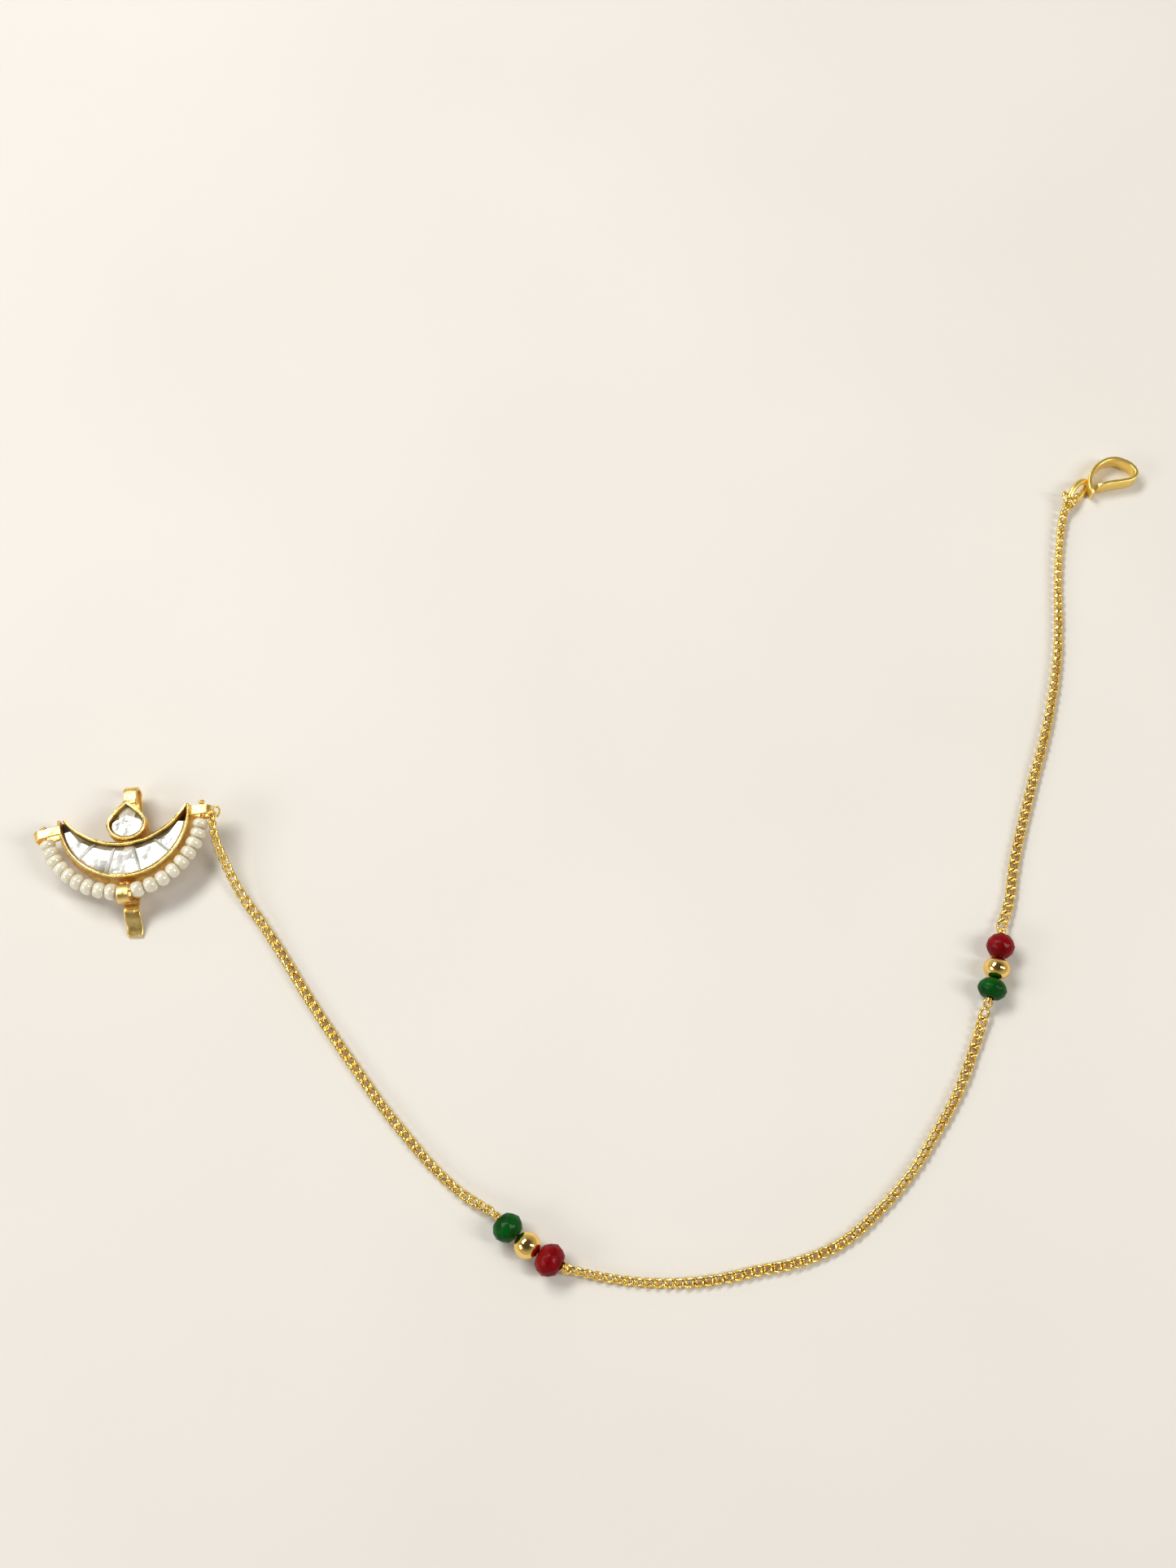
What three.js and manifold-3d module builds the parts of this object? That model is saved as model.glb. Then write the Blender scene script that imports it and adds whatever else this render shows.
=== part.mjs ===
// Nath: a crescent nose ornament set with flat-cut stones, strung with pearls along its lower edge,
// with a spring clip behind it and a long fine chain that ends in a hair hook.
// It is modelled as it lies on a table: +X to the right, +Y away, +Z up, in millimetres.

import * as THREE from 'three';
import { mergeVertices } from 'three/addons/utils/BufferGeometryUtils.js';
import Module from 'manifold-3d';

const wasm = await Module();
wasm.setup();

// Crescent box setting, in its own frame: outer arc centred on the origin, back plate at z = 0
const crescentRadius = 7.6;
const crescentWidth = 4.2;     // at the middle
const tipWidth = 0.85;         // at the level of the outer arc's centre
const leftTipRise = -0.05;     // each tip is cut off this far above that level
const rightTipRise = 0.5;
const leftTipWall = 0.24;
const rightTipWall = 0.6;
const cupHeight = 2.4;
const plateThickness = 1.15;   // back plate and the filling under the stones
const wallThickness = 0.32;

// Drop setting soldered inside the crescent
const dropWidth = 4.6;
const dropTipHeight = 2.9;     // widest line to tip
const dropBelly = 1.9;         // widest line to the rounded bottom
const dropOffsetX = 0.33;
const dropBase = 0.7;          // its shallower cup starts this far above the crescent's back plate
const dropStandOff = 0.28;     // between the two walls, filled with solder
const solderWidth = 2.5;
const solderHeight = 1.9;

// Flat-cut stones
const stoneClearance = 0.14;   // round each stone
const stoneGap = 0.1;          // half of the gap between two stones
const girdleHeight = 0.5;
const crownHeight = 0.4;
const bevelWidth = 0.46;
const stoneCuts = [-79, -47.5, -17, 14.3, 46, 79];   // bearings from the middle of the crescent

// Pearls and their wire
const pearlDiameter = 1.92;
const pearlGap = 0.1;
const pearlHole = 0.32;
const pearlsPerSide = 9;
const pearlTaper = 0.17;       // how much longer the first pearl is than the mean, and the last shorter
const pearlStandOff = 0.56;    // between the crescent's edge and the pearls
const stringOffsetX = -0.22;
const stringHeight = 1.55;
const pearlWireRadius = 0.14;
const knotRadius = 0.3;

// Folded strips that hold the wire: bearing from the +X axis, strip width, reach beyond the string
const loopStrip = 0.3;
const loopHeight = 1.8;
const loopSeat = 0.42;
const loopHoleStart = 0.7;     // from the crescent's edge to the hole
const loopTable = [
  { place: 'left', bearing: 190.1, width: 1.05, reach: 0.98, open: false },
  { place: 'bottom', bearing: 269.8, width: 1.42, reach: 1.13, open: true },
  { place: 'right', bearing: 357, width: 1.15, reach: 1.73, open: false },
];
const openLoopStart = 1.05;    // from the crescent's edge to an open loop's upper end
const granuleRadius = 0.33;
const granuleSpread = 0.62;
const granuleHeight = 1.2;
const granuleReach = 0.5;      // from the crescent's edge

// Spring clip: a strip that starts at the drop's tip, bends back and runs down behind
const clipWidth = 1.6;
const clipStrip = 0.36;
const clipFrontHeight = 1.75;
const clipFrontLength = 0.92;
const clipBendReach = 0.9;
const clipLegDepth = 0.85;     // leg's middle below the back plate's underside
const clipLegLength = 12.3;
const clipCrestLength = 1.8;
const clipCrestRise = 0.5;
const clipLipLength = 2.3;
const clipLipDrop = 1.1;
const clipOffsetX = 0.72;
const clipSlant = -2.6;        // degrees, seen from the front

// Oval link in the right loop
const tabLinkHalfLength = 0.98;
const tabLinkHalfWidth = 0.5;
const tabLinkWire = 0.15;
const tabLinkSag = 0.12;
const tabLinkTilt = 30;        // its chain end stands up clear of the last pearl
const tabLinkRoom = 0.3;       // spare wire beside the link

// Chain
const chainDiameter = 1.2;
const chainStep = 2.7;
const pieceGap = 0.3;

// Two groups of beads, in order along the chain from the crescent
const beadHole = 0.42;
const beadGap = 0.12;
const pinWire = 0.18;
const eyeRadius = 0.55;
const eyeTilt = 38;            // degrees, down towards the table
const beadGroups = [
  {
    number: 1, x: -8.55, y: -45.73, heading: -37, bend: 20,
    beads: [
      { name: 'green_bead_1', finish: 'green', diameter: 3.5, length: 2.65 },
      { name: 'gold_bead_1', finish: 'gold', diameter: 3.0, length: 2.8 },
      { name: 'red_bead_1', finish: 'red', diameter: 3.8, length: 2.75 },
    ],
  },
  {
    number: 2, x: 44.22, y: -14.93, heading: 75.5, bend: 45,
    beads: [
      { name: 'green_bead_2', finish: 'green', diameter: 3.45, length: 2.2 },
      { name: 'gold_bead_2', finish: 'gold', diameter: 3.05, length: 2.5 },
      { name: 'red_bead_2', finish: 'red', diameter: 3.3, length: 2.6 },
    ],
  },
];
const facetSides = 12;

// Hair hook: a strip on edge, bent to a pear shape, with an oval eye at its neck
const hookStrip = 0.5;
const hookHeight = 2.0;
const hookWire = 0.36;
const hookEyeHalfLength = 1.6;
const hookEyeHalfWidth = 0.85;
const hookEyeTilt = 42;

// How the crescent lies: its middle on the table, turned in plan and leaning on its left loop
const crescentX = -55.4;
const crescentY = 2.82;
const crescentTurn = 5.5;
const crescentLean = -2;

// Chain routes, chosen by hand: x, y and height of the chain's middle above its resting height
const chainRoutes = {
  upper_chain: [
    [-44.1, -2.0, 1.5], [-42.0, -5.7, 0.7], [-39.0, -9.75, 0.2], [-36.3, -13.8, 0],
    [-33.7, -17.9, 0], [-28.2, -25.8, 0], [-22.5, -33.2, 0], [-16.3, -39.6, 0],
  ],
  middle_chain: [
    [-2.2, -48.6, 0], [1.1, -49.2, 0], [6.2, -49.6, 0], [11.3, -49.3, 0], [16.3, -48.3, 0], [21.3, -47.2, 0],
    [25.9, -45.1, 0], [29.8, -41.8, 0], [33.4, -37.9, 0], [36.4, -33.5, 0], [39.2, -28.8, 0],
    [41.35, -23.7, 0],
  ],
  end_chain: [
    [46.35, -7.0, 0], [47.4, -1.9, 0], [49.8, 6.5, 0], [52.5, 15.1, 0], [54.4, 23.9, 0],
    [54.9, 28.5, 0], [55.2, 33.2, 0], [55.7, 38.0, 0],
  ],
};

// The middle of the hook's eye, and the strip's line from there
const hookX = 58.55;
const hookY = 46.05;
const hookEyeTurn = 50;
const hookRoute = [
  [1.8, -0.6], [1.45, 0.25], [1.45, 1.25], [1.9, 2.35], [2.95, 3.5], [4.4, 4.1],
  [5.9, 3.8], [6.95, 3.0], [7.25, 2.1], [6.75, 1.4], [5.55, 1.05], [4.05, 0.8], [2.35, 0.4],
];

// Fineness
const arcSteps = 22;
const wireSides = 6;
const beadSides = 12;

const degrees = Math.PI / 180;

const gold = { color: 0xd9a640, roughness: 0.28, metalness: 1 };
const finishes = {
  brushedGold: { color: 0xc98f2e, roughness: 0.42, metalness: 1 },
  gold,
  wire: gold,
  stone: { color: 0xe9efec, roughness: 0.05, metalness: 0.1 },
  pearl: { color: 0xf0e9da, roughness: 0.25, metalness: 0 },
  green: { color: 0x06501a, roughness: 0.15, metalness: 0 },
  red: { color: 0x7a0713, roughness: 0.15, metalness: 0 },
};

// Solids and meshes

function toSolid(geometry, matrix = new THREE.Matrix4()) {
  const source = geometry.clone();
  source.deleteAttribute('normal');
  source.deleteAttribute('uv');
  const merged = mergeVertices(source, 1e-5).applyMatrix4(matrix);
  return new wasm.Manifold(new wasm.Mesh({
    numProp: 3,
    vertProperties: new Float32Array(merged.attributes.position.array),
    triVerts: new Uint32Array(merged.index.array),
  }));
}

function toGeometry(solid) {
  const mesh = solid.getMesh();
  const geometry = new THREE.BufferGeometry();
  geometry.setAttribute('position', new THREE.BufferAttribute(mesh.vertProperties, 3));
  geometry.setIndex(new THREE.BufferAttribute(mesh.triVerts, 1));
  geometry.computeVertexNormals();
  return geometry;
}

function addPiece(parent, name, geometry, finish) {
  const mesh = new THREE.Mesh(geometry, new THREE.MeshStandardMaterial(finishes[finish]));
  mesh.name = name;
  parent.add(mesh);
  return mesh;
}

function extrude(shape, depth, base = 0) {
  const geometry = new THREE.ExtrudeGeometry(shape, { depth, bevelEnabled: false });
  return geometry.translate(0, 0, base);
}

function circleShape(radius, sides) {
  const corners = [];
  for (let i = 0; i < sides; i += 1) {
    const angle = (i + 0.5) * 2 * Math.PI / sides;
    corners.push(new THREE.Vector2(radius * Math.cos(angle), radius * Math.sin(angle)));
  }
  return new THREE.Shape(corners);
}

function tubeAlong(path, radius, steps, sides) {
  return new THREE.ExtrudeGeometry(circleShape(radius, sides), { steps, extrudePath: path });
}

// A closed solid through layers of equal point count, each { points, z }
function layeredSolid(layers) {
  const count = layers[0].points.length;
  const positions = layers.flatMap((layer) => layer.points.flatMap((p) => [p.x, p.y, layer.z]));
  const index = [];
  for (let k = 0; k + 1 < layers.length; k += 1) {
    for (let i = 0; i < count; i += 1) {
      const a = k * count + i;
      const b = k * count + (i + 1) % count;
      index.push(a, b, b + count, a, b + count, a + count);
    }
  }
  const top = (layers.length - 1) * count;
  for (const [a, b, c] of THREE.ShapeUtils.triangulateShape(layers[0].points, [])) index.push(a, c, b);
  for (const [a, b, c] of THREE.ShapeUtils.triangulateShape(layers.at(-1).points, [])) {
    index.push(top + a, top + b, top + c);
  }
  const geometry = new THREE.BufferGeometry();
  geometry.setAttribute('position', new THREE.Float32BufferAttribute(positions, 3));
  geometry.setIndex(index);
  geometry.computeVertexNormals();
  return geometry;
}

// A closed oval ring of round wire in the XY plane, its long way along X
function ovalRing(halfLength, halfWidth, wire, steps, sides) {
  const positions = [];
  const index = [];
  for (let i = 0; i < steps; i += 1) {
    const turn = i * 2 * Math.PI / steps;
    const middle = new THREE.Vector3(halfLength * Math.cos(turn), halfWidth * Math.sin(turn), 0);
    const out = new THREE.Vector3(halfWidth * Math.cos(turn), halfLength * Math.sin(turn), 0).normalize();
    for (let j = 0; j < sides; j += 1) {
      const around = j * 2 * Math.PI / sides;
      const point = middle.clone().addScaledVector(out, wire * Math.cos(around));
      positions.push(point.x, point.y, wire * Math.sin(around));
      const a = i * sides + j;
      const b = i * sides + (j + 1) % sides;
      const c = ((i + 1) % steps) * sides + j;
      const d = ((i + 1) % steps) * sides + (j + 1) % sides;
      index.push(a, c, d, a, d, b);
    }
  }
  const geometry = new THREE.BufferGeometry();
  geometry.setAttribute('position', new THREE.Float32BufferAttribute(positions, 3));
  geometry.setIndex(index);
  return geometry;
}

// The outline of a strip of even thickness along a line of points
function stripShape(line, thickness) {
  const half = thickness / 2;
  const left = [];
  const right = [];
  line.forEach((point, i) => {
    const before = line[Math.max(i - 1, 0)];
    const after = line[Math.min(i + 1, line.length - 1)];
    const along = after.clone().sub(before).normalize();
    const side = new THREE.Vector2(-along.y, along.x).multiplyScalar(half);
    left.push(point.clone().add(side));
    right.push(point.clone().sub(side));
  });
  return new THREE.Shape([...left, ...right.reverse()]);
}

// Crescent

const innerArcBottom = crescentRadius - crescentWidth;
const innerArcRise = ((crescentRadius - tipWidth) ** 2 - innerArcBottom ** 2) / (2 * innerArcBottom);
const innerArcRadius = innerArcRise + innerArcBottom;
const stringRadius = crescentRadius + pearlStandOff + pearlDiameter / 2;
const tips = [
  { rise: leftTipRise, wall: leftTipWall },
  { rise: rightTipRise, wall: rightTipWall },
];

// The point at a bearing from the middle of the crescent (0 is the bottom, positive to the right)
function fromBottom(bearing, radius) {
  const angle = bearing * degrees;
  return new THREE.Vector2(radius * Math.sin(angle), -radius * Math.cos(angle));
}

function innerArcReach(bearing, inset) {
  const angle = bearing * degrees;
  const radius = innerArcRadius + inset;
  return Math.sqrt(radius ** 2 - (innerArcRise * Math.sin(angle)) ** 2) - innerArcRise * Math.cos(angle);
}

function crescentShape(inset) {
  const outer = crescentRadius - inset;
  const inner = innerArcRadius + inset;
  const steps = 2 * arcSteps;
  const [left, right] = tips.map((tip) => {
    const cut = tip.wall * inset / wallThickness - tip.rise;
    return { outerEnd: Math.asin(cut / outer), innerEnd: Math.acos((innerArcRise + cut) / inner) };
  });
  const points = [];
  for (let i = 0; i <= steps; i += 1) {
    const angle = Math.PI + left.outerEnd + (Math.PI - left.outerEnd - right.outerEnd) * i / steps;
    points.push(new THREE.Vector2(outer * Math.cos(angle), outer * Math.sin(angle)));
  }
  for (let i = 0; i <= steps; i += 1) {
    const angle = right.innerEnd - (left.innerEnd + right.innerEnd) * i / steps;
    points.push(new THREE.Vector2(inner * Math.sin(angle), innerArcRise - inner * Math.cos(angle)));
  }
  return new THREE.Shape(points);
}

// Height of the drop's widest line, so that its bottom stands just off the crescent's inner wall
const dropY = dropStandOff + dropBelly - innerArcBottom;

// The drop's outline: half an ellipse below the widest line, two curved sides to the tip above it
function dropOutline(inset, steps) {
  const half = dropWidth / 2 - inset;
  const belly = dropBelly - inset;
  const tip = dropTipHeight - inset * 1.35;
  const points = [];
  for (let i = 0; i <= steps; i += 1) {
    const angle = Math.PI + Math.PI * i / steps;
    points.push(new THREE.Vector2(dropOffsetX + half * Math.cos(angle), dropY + belly * Math.sin(angle)));
  }
  const side = new THREE.CubicBezierCurve(
    new THREE.Vector2(half, 0),
    new THREE.Vector2(half, tip * 0.33),
    new THREE.Vector2(half * 0.46, tip * 0.66),
    new THREE.Vector2(0, tip),
  ).getPoints(steps / 2);
  for (const point of side.slice(1)) points.push(new THREE.Vector2(dropOffsetX + point.x, dropY + point.y));
  for (const point of side.slice(1, -1).reverse()) {
    points.push(new THREE.Vector2(dropOffsetX - point.x, dropY + point.y));
  }
  return points;
}

// A folded strip that stands out from the crescent's edge, with a way through along the string.
// A closed one is soldered on at both ends, an open one only at its lower end.
function threadLoop({ bearing, width, reach, open }) {
  const start = crescentRadius - loopSeat;
  const end = stringRadius + reach;
  const low = stringHeight - loopHeight / 2;
  const high = low + loopHeight;
  const fold = loopHeight * 0.28;
  const holeTo = end - loopStrip;
  const shape = new THREE.Shape();
  shape.moveTo(start, low);
  shape.lineTo(end - fold, low);
  shape.lineTo(end, low + fold);
  shape.lineTo(end, high - fold);
  shape.lineTo(end - fold, high);
  if (open) {
    shape.lineTo(crescentRadius + openLoopStart, high);
    shape.lineTo(crescentRadius + openLoopStart, high - loopStrip);
    shape.lineTo(holeTo, high - loopStrip);
    shape.lineTo(holeTo, low + loopStrip);
    shape.lineTo(start, low + loopStrip);
  } else {
    shape.lineTo(start, high);
    const holeFrom = crescentRadius + loopHoleStart;
    const hole = new THREE.Path();
    hole.moveTo(holeFrom, low + loopStrip);
    hole.lineTo(holeTo, low + loopStrip);
    hole.lineTo(holeTo, high - loopStrip);
    hole.lineTo(holeFrom, high - loopStrip);
    shape.holes.push(hole);
  }
  return toSolid(extrude(shape, width, -width / 2), radialFrame(bearing));
}

// Turns a section drawn as (outwards, upwards) to stand on the string's circle, at a bearing from +X
function radialFrame(bearing) {
  const outwards = new THREE.Vector3(Math.cos(bearing * degrees), Math.sin(bearing * degrees), 0);
  const upwards = new THREE.Vector3(0, 0, 1);
  const across = new THREE.Vector3().crossVectors(outwards, upwards);
  return new THREE.Matrix4().makeBasis(outwards, upwards, across).setPosition(stringOffsetX, 0, 0);
}

function springClip() {
  const tipY = dropY + dropTipHeight;
  const bendY = tipY + clipFrontLength;
  const legZ = -clipLegDepth;
  const bendMiddle = (clipFrontHeight + legZ) / 2;
  const bendHeight = (clipFrontHeight - legZ) / 2;
  const crestY = bendY - clipLegLength - clipCrestLength;
  const path = new THREE.Path();
  path.moveTo(tipY - wallThickness, clipFrontHeight);
  path.lineTo(bendY, clipFrontHeight);
  path.absellipse(bendY, bendMiddle, clipBendReach, bendHeight, Math.PI / 2, -Math.PI / 2, true, 0);
  path.lineTo(bendY - clipLegLength, legZ);
  path.bezierCurveTo(
    bendY - clipLegLength - clipCrestLength * 0.4, legZ,
    crestY + clipCrestLength * 0.5, legZ + clipCrestRise,
    crestY, legZ + clipCrestRise,
  );
  path.bezierCurveTo(
    crestY - clipLipLength * 0.5, legZ + clipCrestRise,
    crestY - clipLipLength * 0.75, legZ + clipCrestRise - clipLipDrop * 0.6,
    crestY - clipLipLength, legZ + clipCrestRise - clipLipDrop,
  );
  const line = path.getPoints(7);
  const slanted = new THREE.Matrix4().makeTranslation(clipOffsetX, tipY, 0)
    .multiply(new THREE.Matrix4().makeRotationZ(clipSlant * degrees))
    .multiply(new THREE.Matrix4().makeTranslation(0, -tipY, 0));
  const upright = new THREE.Matrix4().makeBasis(
    new THREE.Vector3(0, 1, 0), new THREE.Vector3(0, 0, 1), new THREE.Vector3(1, 0, 0));
  const strip = extrude(stripShape(line, clipStrip), clipWidth, -clipWidth / 2);
  return toSolid(strip, slanted.multiply(upright));
}

function solderGranules(bearing) {
  const beads = [-1, 1].map((side) => {
    const angle = (bearing * degrees) + side * granuleSpread / 2 / crescentRadius;
    const reach = crescentRadius + granuleReach;
    const place = new THREE.Matrix4().makeTranslation(
      reach * Math.cos(angle), reach * Math.sin(angle), granuleHeight);
    return toSolid(new THREE.SphereGeometry(granuleRadius, 8, 6), place);
  });
  return beads[0].add(beads[1]);
}

// Solder that fills the narrow way between the drop and the crescent
function solderBridge() {
  const depth = dropStandOff + 2 * wallThickness;
  const height = solderHeight - dropBase;
  const middle = new THREE.Matrix4().makeTranslation(
    dropOffsetX, dropStandOff / 2 - innerArcBottom, dropBase + height / 2);
  return toSolid(new THREE.BoxGeometry(solderWidth, depth, height), middle);
}

function crescentFrame() {
  let frame = toSolid(extrude(crescentShape(0), cupHeight));
  frame = frame.add(solderBridge());
  const dropCup = extrude(new THREE.Shape(dropOutline(0, 16)), cupHeight - dropBase, dropBase);
  frame = frame.add(toSolid(dropCup));
  frame = frame.add(springClip());
  for (const loop of loopTable) frame = frame.add(threadLoop(loop));
  frame = frame.add(solderGranules(loopTable[1].bearing));
  frame = frame.subtract(toSolid(extrude(crescentShape(wallThickness), cupHeight, plateThickness)));
  const dropPocket = extrude(new THREE.Shape(dropOutline(wallThickness, 16)), cupHeight, plateThickness);
  return frame.subtract(toSolid(dropPocket));
}

// One stone's outline between two bearings, drawn in by an inset on every side
function stoneOutline(from, to, inset) {
  const outer = crescentRadius - wallThickness - stoneClearance - inset;
  const wallInset = wallThickness + stoneClearance + inset;
  const share = [0, 0.25, 0.5, 0.75, 1];
  const edge = (radius) => (stoneGap + inset) / radius / degrees;
  const outerSide = share.map((t) => {
    const margin = edge(outer);
    return fromBottom(from + margin + (to - from - 2 * margin) * t, outer);
  });
  const innerSide = [1, 0.5, 0].map((t) => {
    const margin = edge(innerArcReach((from + to) / 2, wallInset));
    const bearing = from + margin + (to - from - 2 * margin) * t;
    const reach = Math.min(innerArcReach(bearing, wallInset), outer - 0.05);
    return fromBottom(bearing, reach);
  });
  return [...outerSide, ...innerSide];
}

function cutStone(outlineAt) {
  const base = plateThickness + stoneClearance;
  return layeredSolid([
    { points: outlineAt(0), z: base },
    { points: outlineAt(0), z: base + girdleHeight },
    { points: outlineAt(bevelWidth), z: base + girdleHeight + crownHeight },
  ]);
}

// Pearls

function onString(bearing) {
  const angle = bearing * degrees;
  return new THREE.Vector3(
    stringOffsetX + stringRadius * Math.cos(angle), stringRadius * Math.sin(angle), stringHeight);
}

function halfWidthOnString(loop) {
  return loop.width / 2 / stringRadius / degrees;
}

// The pearls between two loops, each with its bearing and length, growing smaller from the first one on
function pearlRow(fromLoop, toLoop, spare) {
  const side = Math.sign(toLoop.bearing - fromLoop.bearing);
  const start = fromLoop.bearing + side * halfWidthOnString(fromLoop);
  const end = toLoop.bearing - side * (halfWidthOnString(toLoop) + spare / stringRadius / degrees);
  const mean = (end - start) / pearlsPerSide;
  let reached = start;
  return Array.from({ length: pearlsPerSide }, (_, i) => {
    const pitch = mean * (1 + pearlTaper * (1 - 2 * i / (pearlsPerSide - 1)));
    reached += pitch;
    return {
      bearing: reached - pitch / 2,
      length: Math.abs(pitch) * degrees * stringRadius - pearlGap,
    };
  });
}

// A round bead with a drilled hole, turned about Y: rings of [share of radius, share of half length]
function drilledBead(diameter, length, hole, rings, sides) {
  const radius = diameter / 2;
  const profile = [new THREE.Vector2(hole, -length / 2)];
  for (const [out, along] of rings) {
    profile.push(new THREE.Vector2(Math.max(out * radius, hole * 1.2), along * length / 2));
  }
  profile.push(new THREE.Vector2(hole, length / 2));
  profile.push(new THREE.Vector2(hole, -length / 2));
  return toGeometry(toSolid(new THREE.LatheGeometry(profile, sides)));
}

const roundRings = [[0.5, -1], [0.84, -0.72], [1, -0.18], [1, 0.18], [0.84, 0.72], [0.5, 1]];
const facetRings = [[0.52, -1], [0.86, -0.56], [1, 0], [0.86, 0.56], [0.52, 1]];

class StringPath extends THREE.Curve {
  constructor(from, to) {
    super();
    this.from = from;
    this.to = to;
  }

  getPoint(t, target = new THREE.Vector3()) {
    return target.copy(onString(this.from + (this.to - this.from) * t));
  }
}

function pearlWire() {
  const [left, , right] = loopTable;
  const overhang = (loop) => halfWidthOnString(loop) + (knotRadius + 0.12) / stringRadius / degrees;
  const from = left.bearing - overhang(left);
  const to = right.bearing + overhang(right);
  let wire = toSolid(tubeAlong(new StringPath(from, to), pearlWireRadius, arcSteps, wireSides));
  for (const bearing of [from, to]) {
    const at = onString(bearing);
    const place = new THREE.Matrix4().makeTranslation(at.x, at.y, at.z);
    wire = wire.add(toSolid(new THREE.SphereGeometry(knotRadius, 8, 6), place));
  }
  return wire;
}

// Where the oval link hangs: through the right loop's hole and round its fold
const rightLoop = loopTable[2];
const tabLinkReach = stringRadius + rightLoop.reach - loopStrip / 2;

function tabLinkPlace() {
  const frame = radialFrame(rightLoop.bearing);
  return frame.multiply(new THREE.Matrix4().makeTranslation(tabLinkReach, stringHeight, tabLinkSag))
    .multiply(new THREE.Matrix4().makeRotationX(-tabLinkTilt * degrees))
    .multiply(new THREE.Matrix4().makeBasis(
      new THREE.Vector3(0, 0, 1), new THREE.Vector3(1, 0, 0), new THREE.Vector3(0, 1, 0)));
}

// Bead groups

function groupAxisHeight(group) {
  return Math.max(...group.beads.map((bead) => bead.diameter)) / 2;
}

// Point and heading on a group's slightly bent pin, at a distance from the middle bead
function onPin(group, distance) {
  const start = group.heading * degrees;
  const end = start + distance / group.bend;
  return {
    point: new THREE.Vector3(
      group.x + group.bend * (Math.sin(end) - Math.sin(start)),
      group.y - group.bend * (Math.cos(end) - Math.cos(start)),
      groupAxisHeight(group)),
    heading: end,
  };
}

// Distances of the three beads and of the pin's ends from the middle bead
function beadPlaces(group) {
  const [first, middle, last] = group.beads;
  const before = -(first.length + middle.length) / 2 - beadGap;
  const after = (middle.length + last.length) / 2 + beadGap;
  return {
    centres: [before, 0, after],
    start: before - first.length / 2 - beadGap,
    end: after + last.length / 2 + beadGap,
  };
}

class PinPath extends THREE.Curve {
  constructor(group, from, to) {
    super();
    Object.assign(this, { group, from, to });
  }

  getPoint(t, target = new THREE.Vector3()) {
    return target.copy(onPin(this.group, this.from + (this.to - this.from) * t).point);
  }
}

function beadPin(group) {
  const { start, end } = beadPlaces(group);
  let pin = toSolid(tubeAlong(new PinPath(group, start, end), pinWire, 8, wireSides));
  for (const side of [-1, 1]) {
    const place = pinEnd(group, side).multiply(new THREE.Matrix4().makeTranslation(eyeRadius, 0, 0));
    pin = pin.add(toSolid(ovalRing(eyeRadius, eyeRadius, pinWire, 12, wireSides), place));
  }
  return pin;
}

// The frame at a pin's end, X pointing outwards and down along its eye
function pinEnd(group, side) {
  const places = beadPlaces(group);
  const { point, heading } = onPin(group, side < 0 ? places.start : places.end);
  return new THREE.Matrix4().makeTranslation(point.x, point.y, point.z)
    .multiply(new THREE.Matrix4().makeRotationZ(side < 0 ? heading + Math.PI : heading))
    .multiply(new THREE.Matrix4().makeRotationY(eyeTilt * degrees));
}

// Where a chain meets a pin's eye
function pinEyeEdge(group, side) {
  const reach = 2 * eyeRadius + pinWire + pieceGap;
  return new THREE.Vector3(reach, 0, 0).applyMatrix4(pinEnd(group, side));
}

// A route that nowhere sinks below the height at which the chain lies
class ChainPath extends THREE.CatmullRomCurve3 {
  getPoint(t, target) {
    const point = super.getPoint(t, target);
    point.z = Math.max(point.z, chainDiameter / 2);
    return point;
  }
}

function chainTube(points) {
  const path = new ChainPath(points, false, 'centripetal');
  const steps = Math.round(path.getLength() / chainStep);
  return toGeometry(toSolid(tubeAlong(path, chainDiameter / 2, steps, 8)));
}

function hairHook() {
  const plan = new THREE.SplineCurve(hookRoute.map(([x, y]) => new THREE.Vector2(hookX + x, hookY + y)));
  const line = plan.getPoints(3 * hookRoute.length);
  const strip = toSolid(extrude(stripShape(line, hookStrip), hookHeight));
  const lift = hookWire + hookEyeHalfWidth * Math.sin(hookEyeTilt * degrees);
  const place = new THREE.Matrix4().makeTranslation(hookX, hookY, lift)
    .multiply(new THREE.Matrix4().makeRotationZ(hookEyeTurn * degrees))
    .multiply(new THREE.Matrix4().makeRotationX(hookEyeTilt * degrees));
  const eye = toSolid(ovalRing(hookEyeHalfLength, hookEyeHalfWidth, hookWire, 20, 8), place);
  return toGeometry(strip.add(eye));
}

// Assembly

const model = new THREE.Group();

const crescent = new THREE.Group();
crescent.rotation.set(0, crescentLean * degrees, crescentTurn * degrees, 'ZYX');
crescent.position.set(crescentX, crescentY, 0);
model.add(crescent);

const frame = addPiece(crescent, 'crescent_frame', toGeometry(crescentFrame()), 'brushedGold');
model.updateMatrixWorld(true);
crescent.position.z -= new THREE.Box3().setFromObject(frame, true).min.z;

for (let i = 0; i + 1 < stoneCuts.length; i += 1) {
  const outlineAt = (inset) => stoneOutline(stoneCuts[i], stoneCuts[i + 1], inset);
  addPiece(crescent, `crescent_stone_${i + 1}`, cutStone(outlineAt), 'stone');
}
const dropInset = wallThickness + stoneClearance;
addPiece(crescent, 'drop_stone', cutStone((inset) => dropOutline(dropInset + inset, 8)), 'stone');

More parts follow.
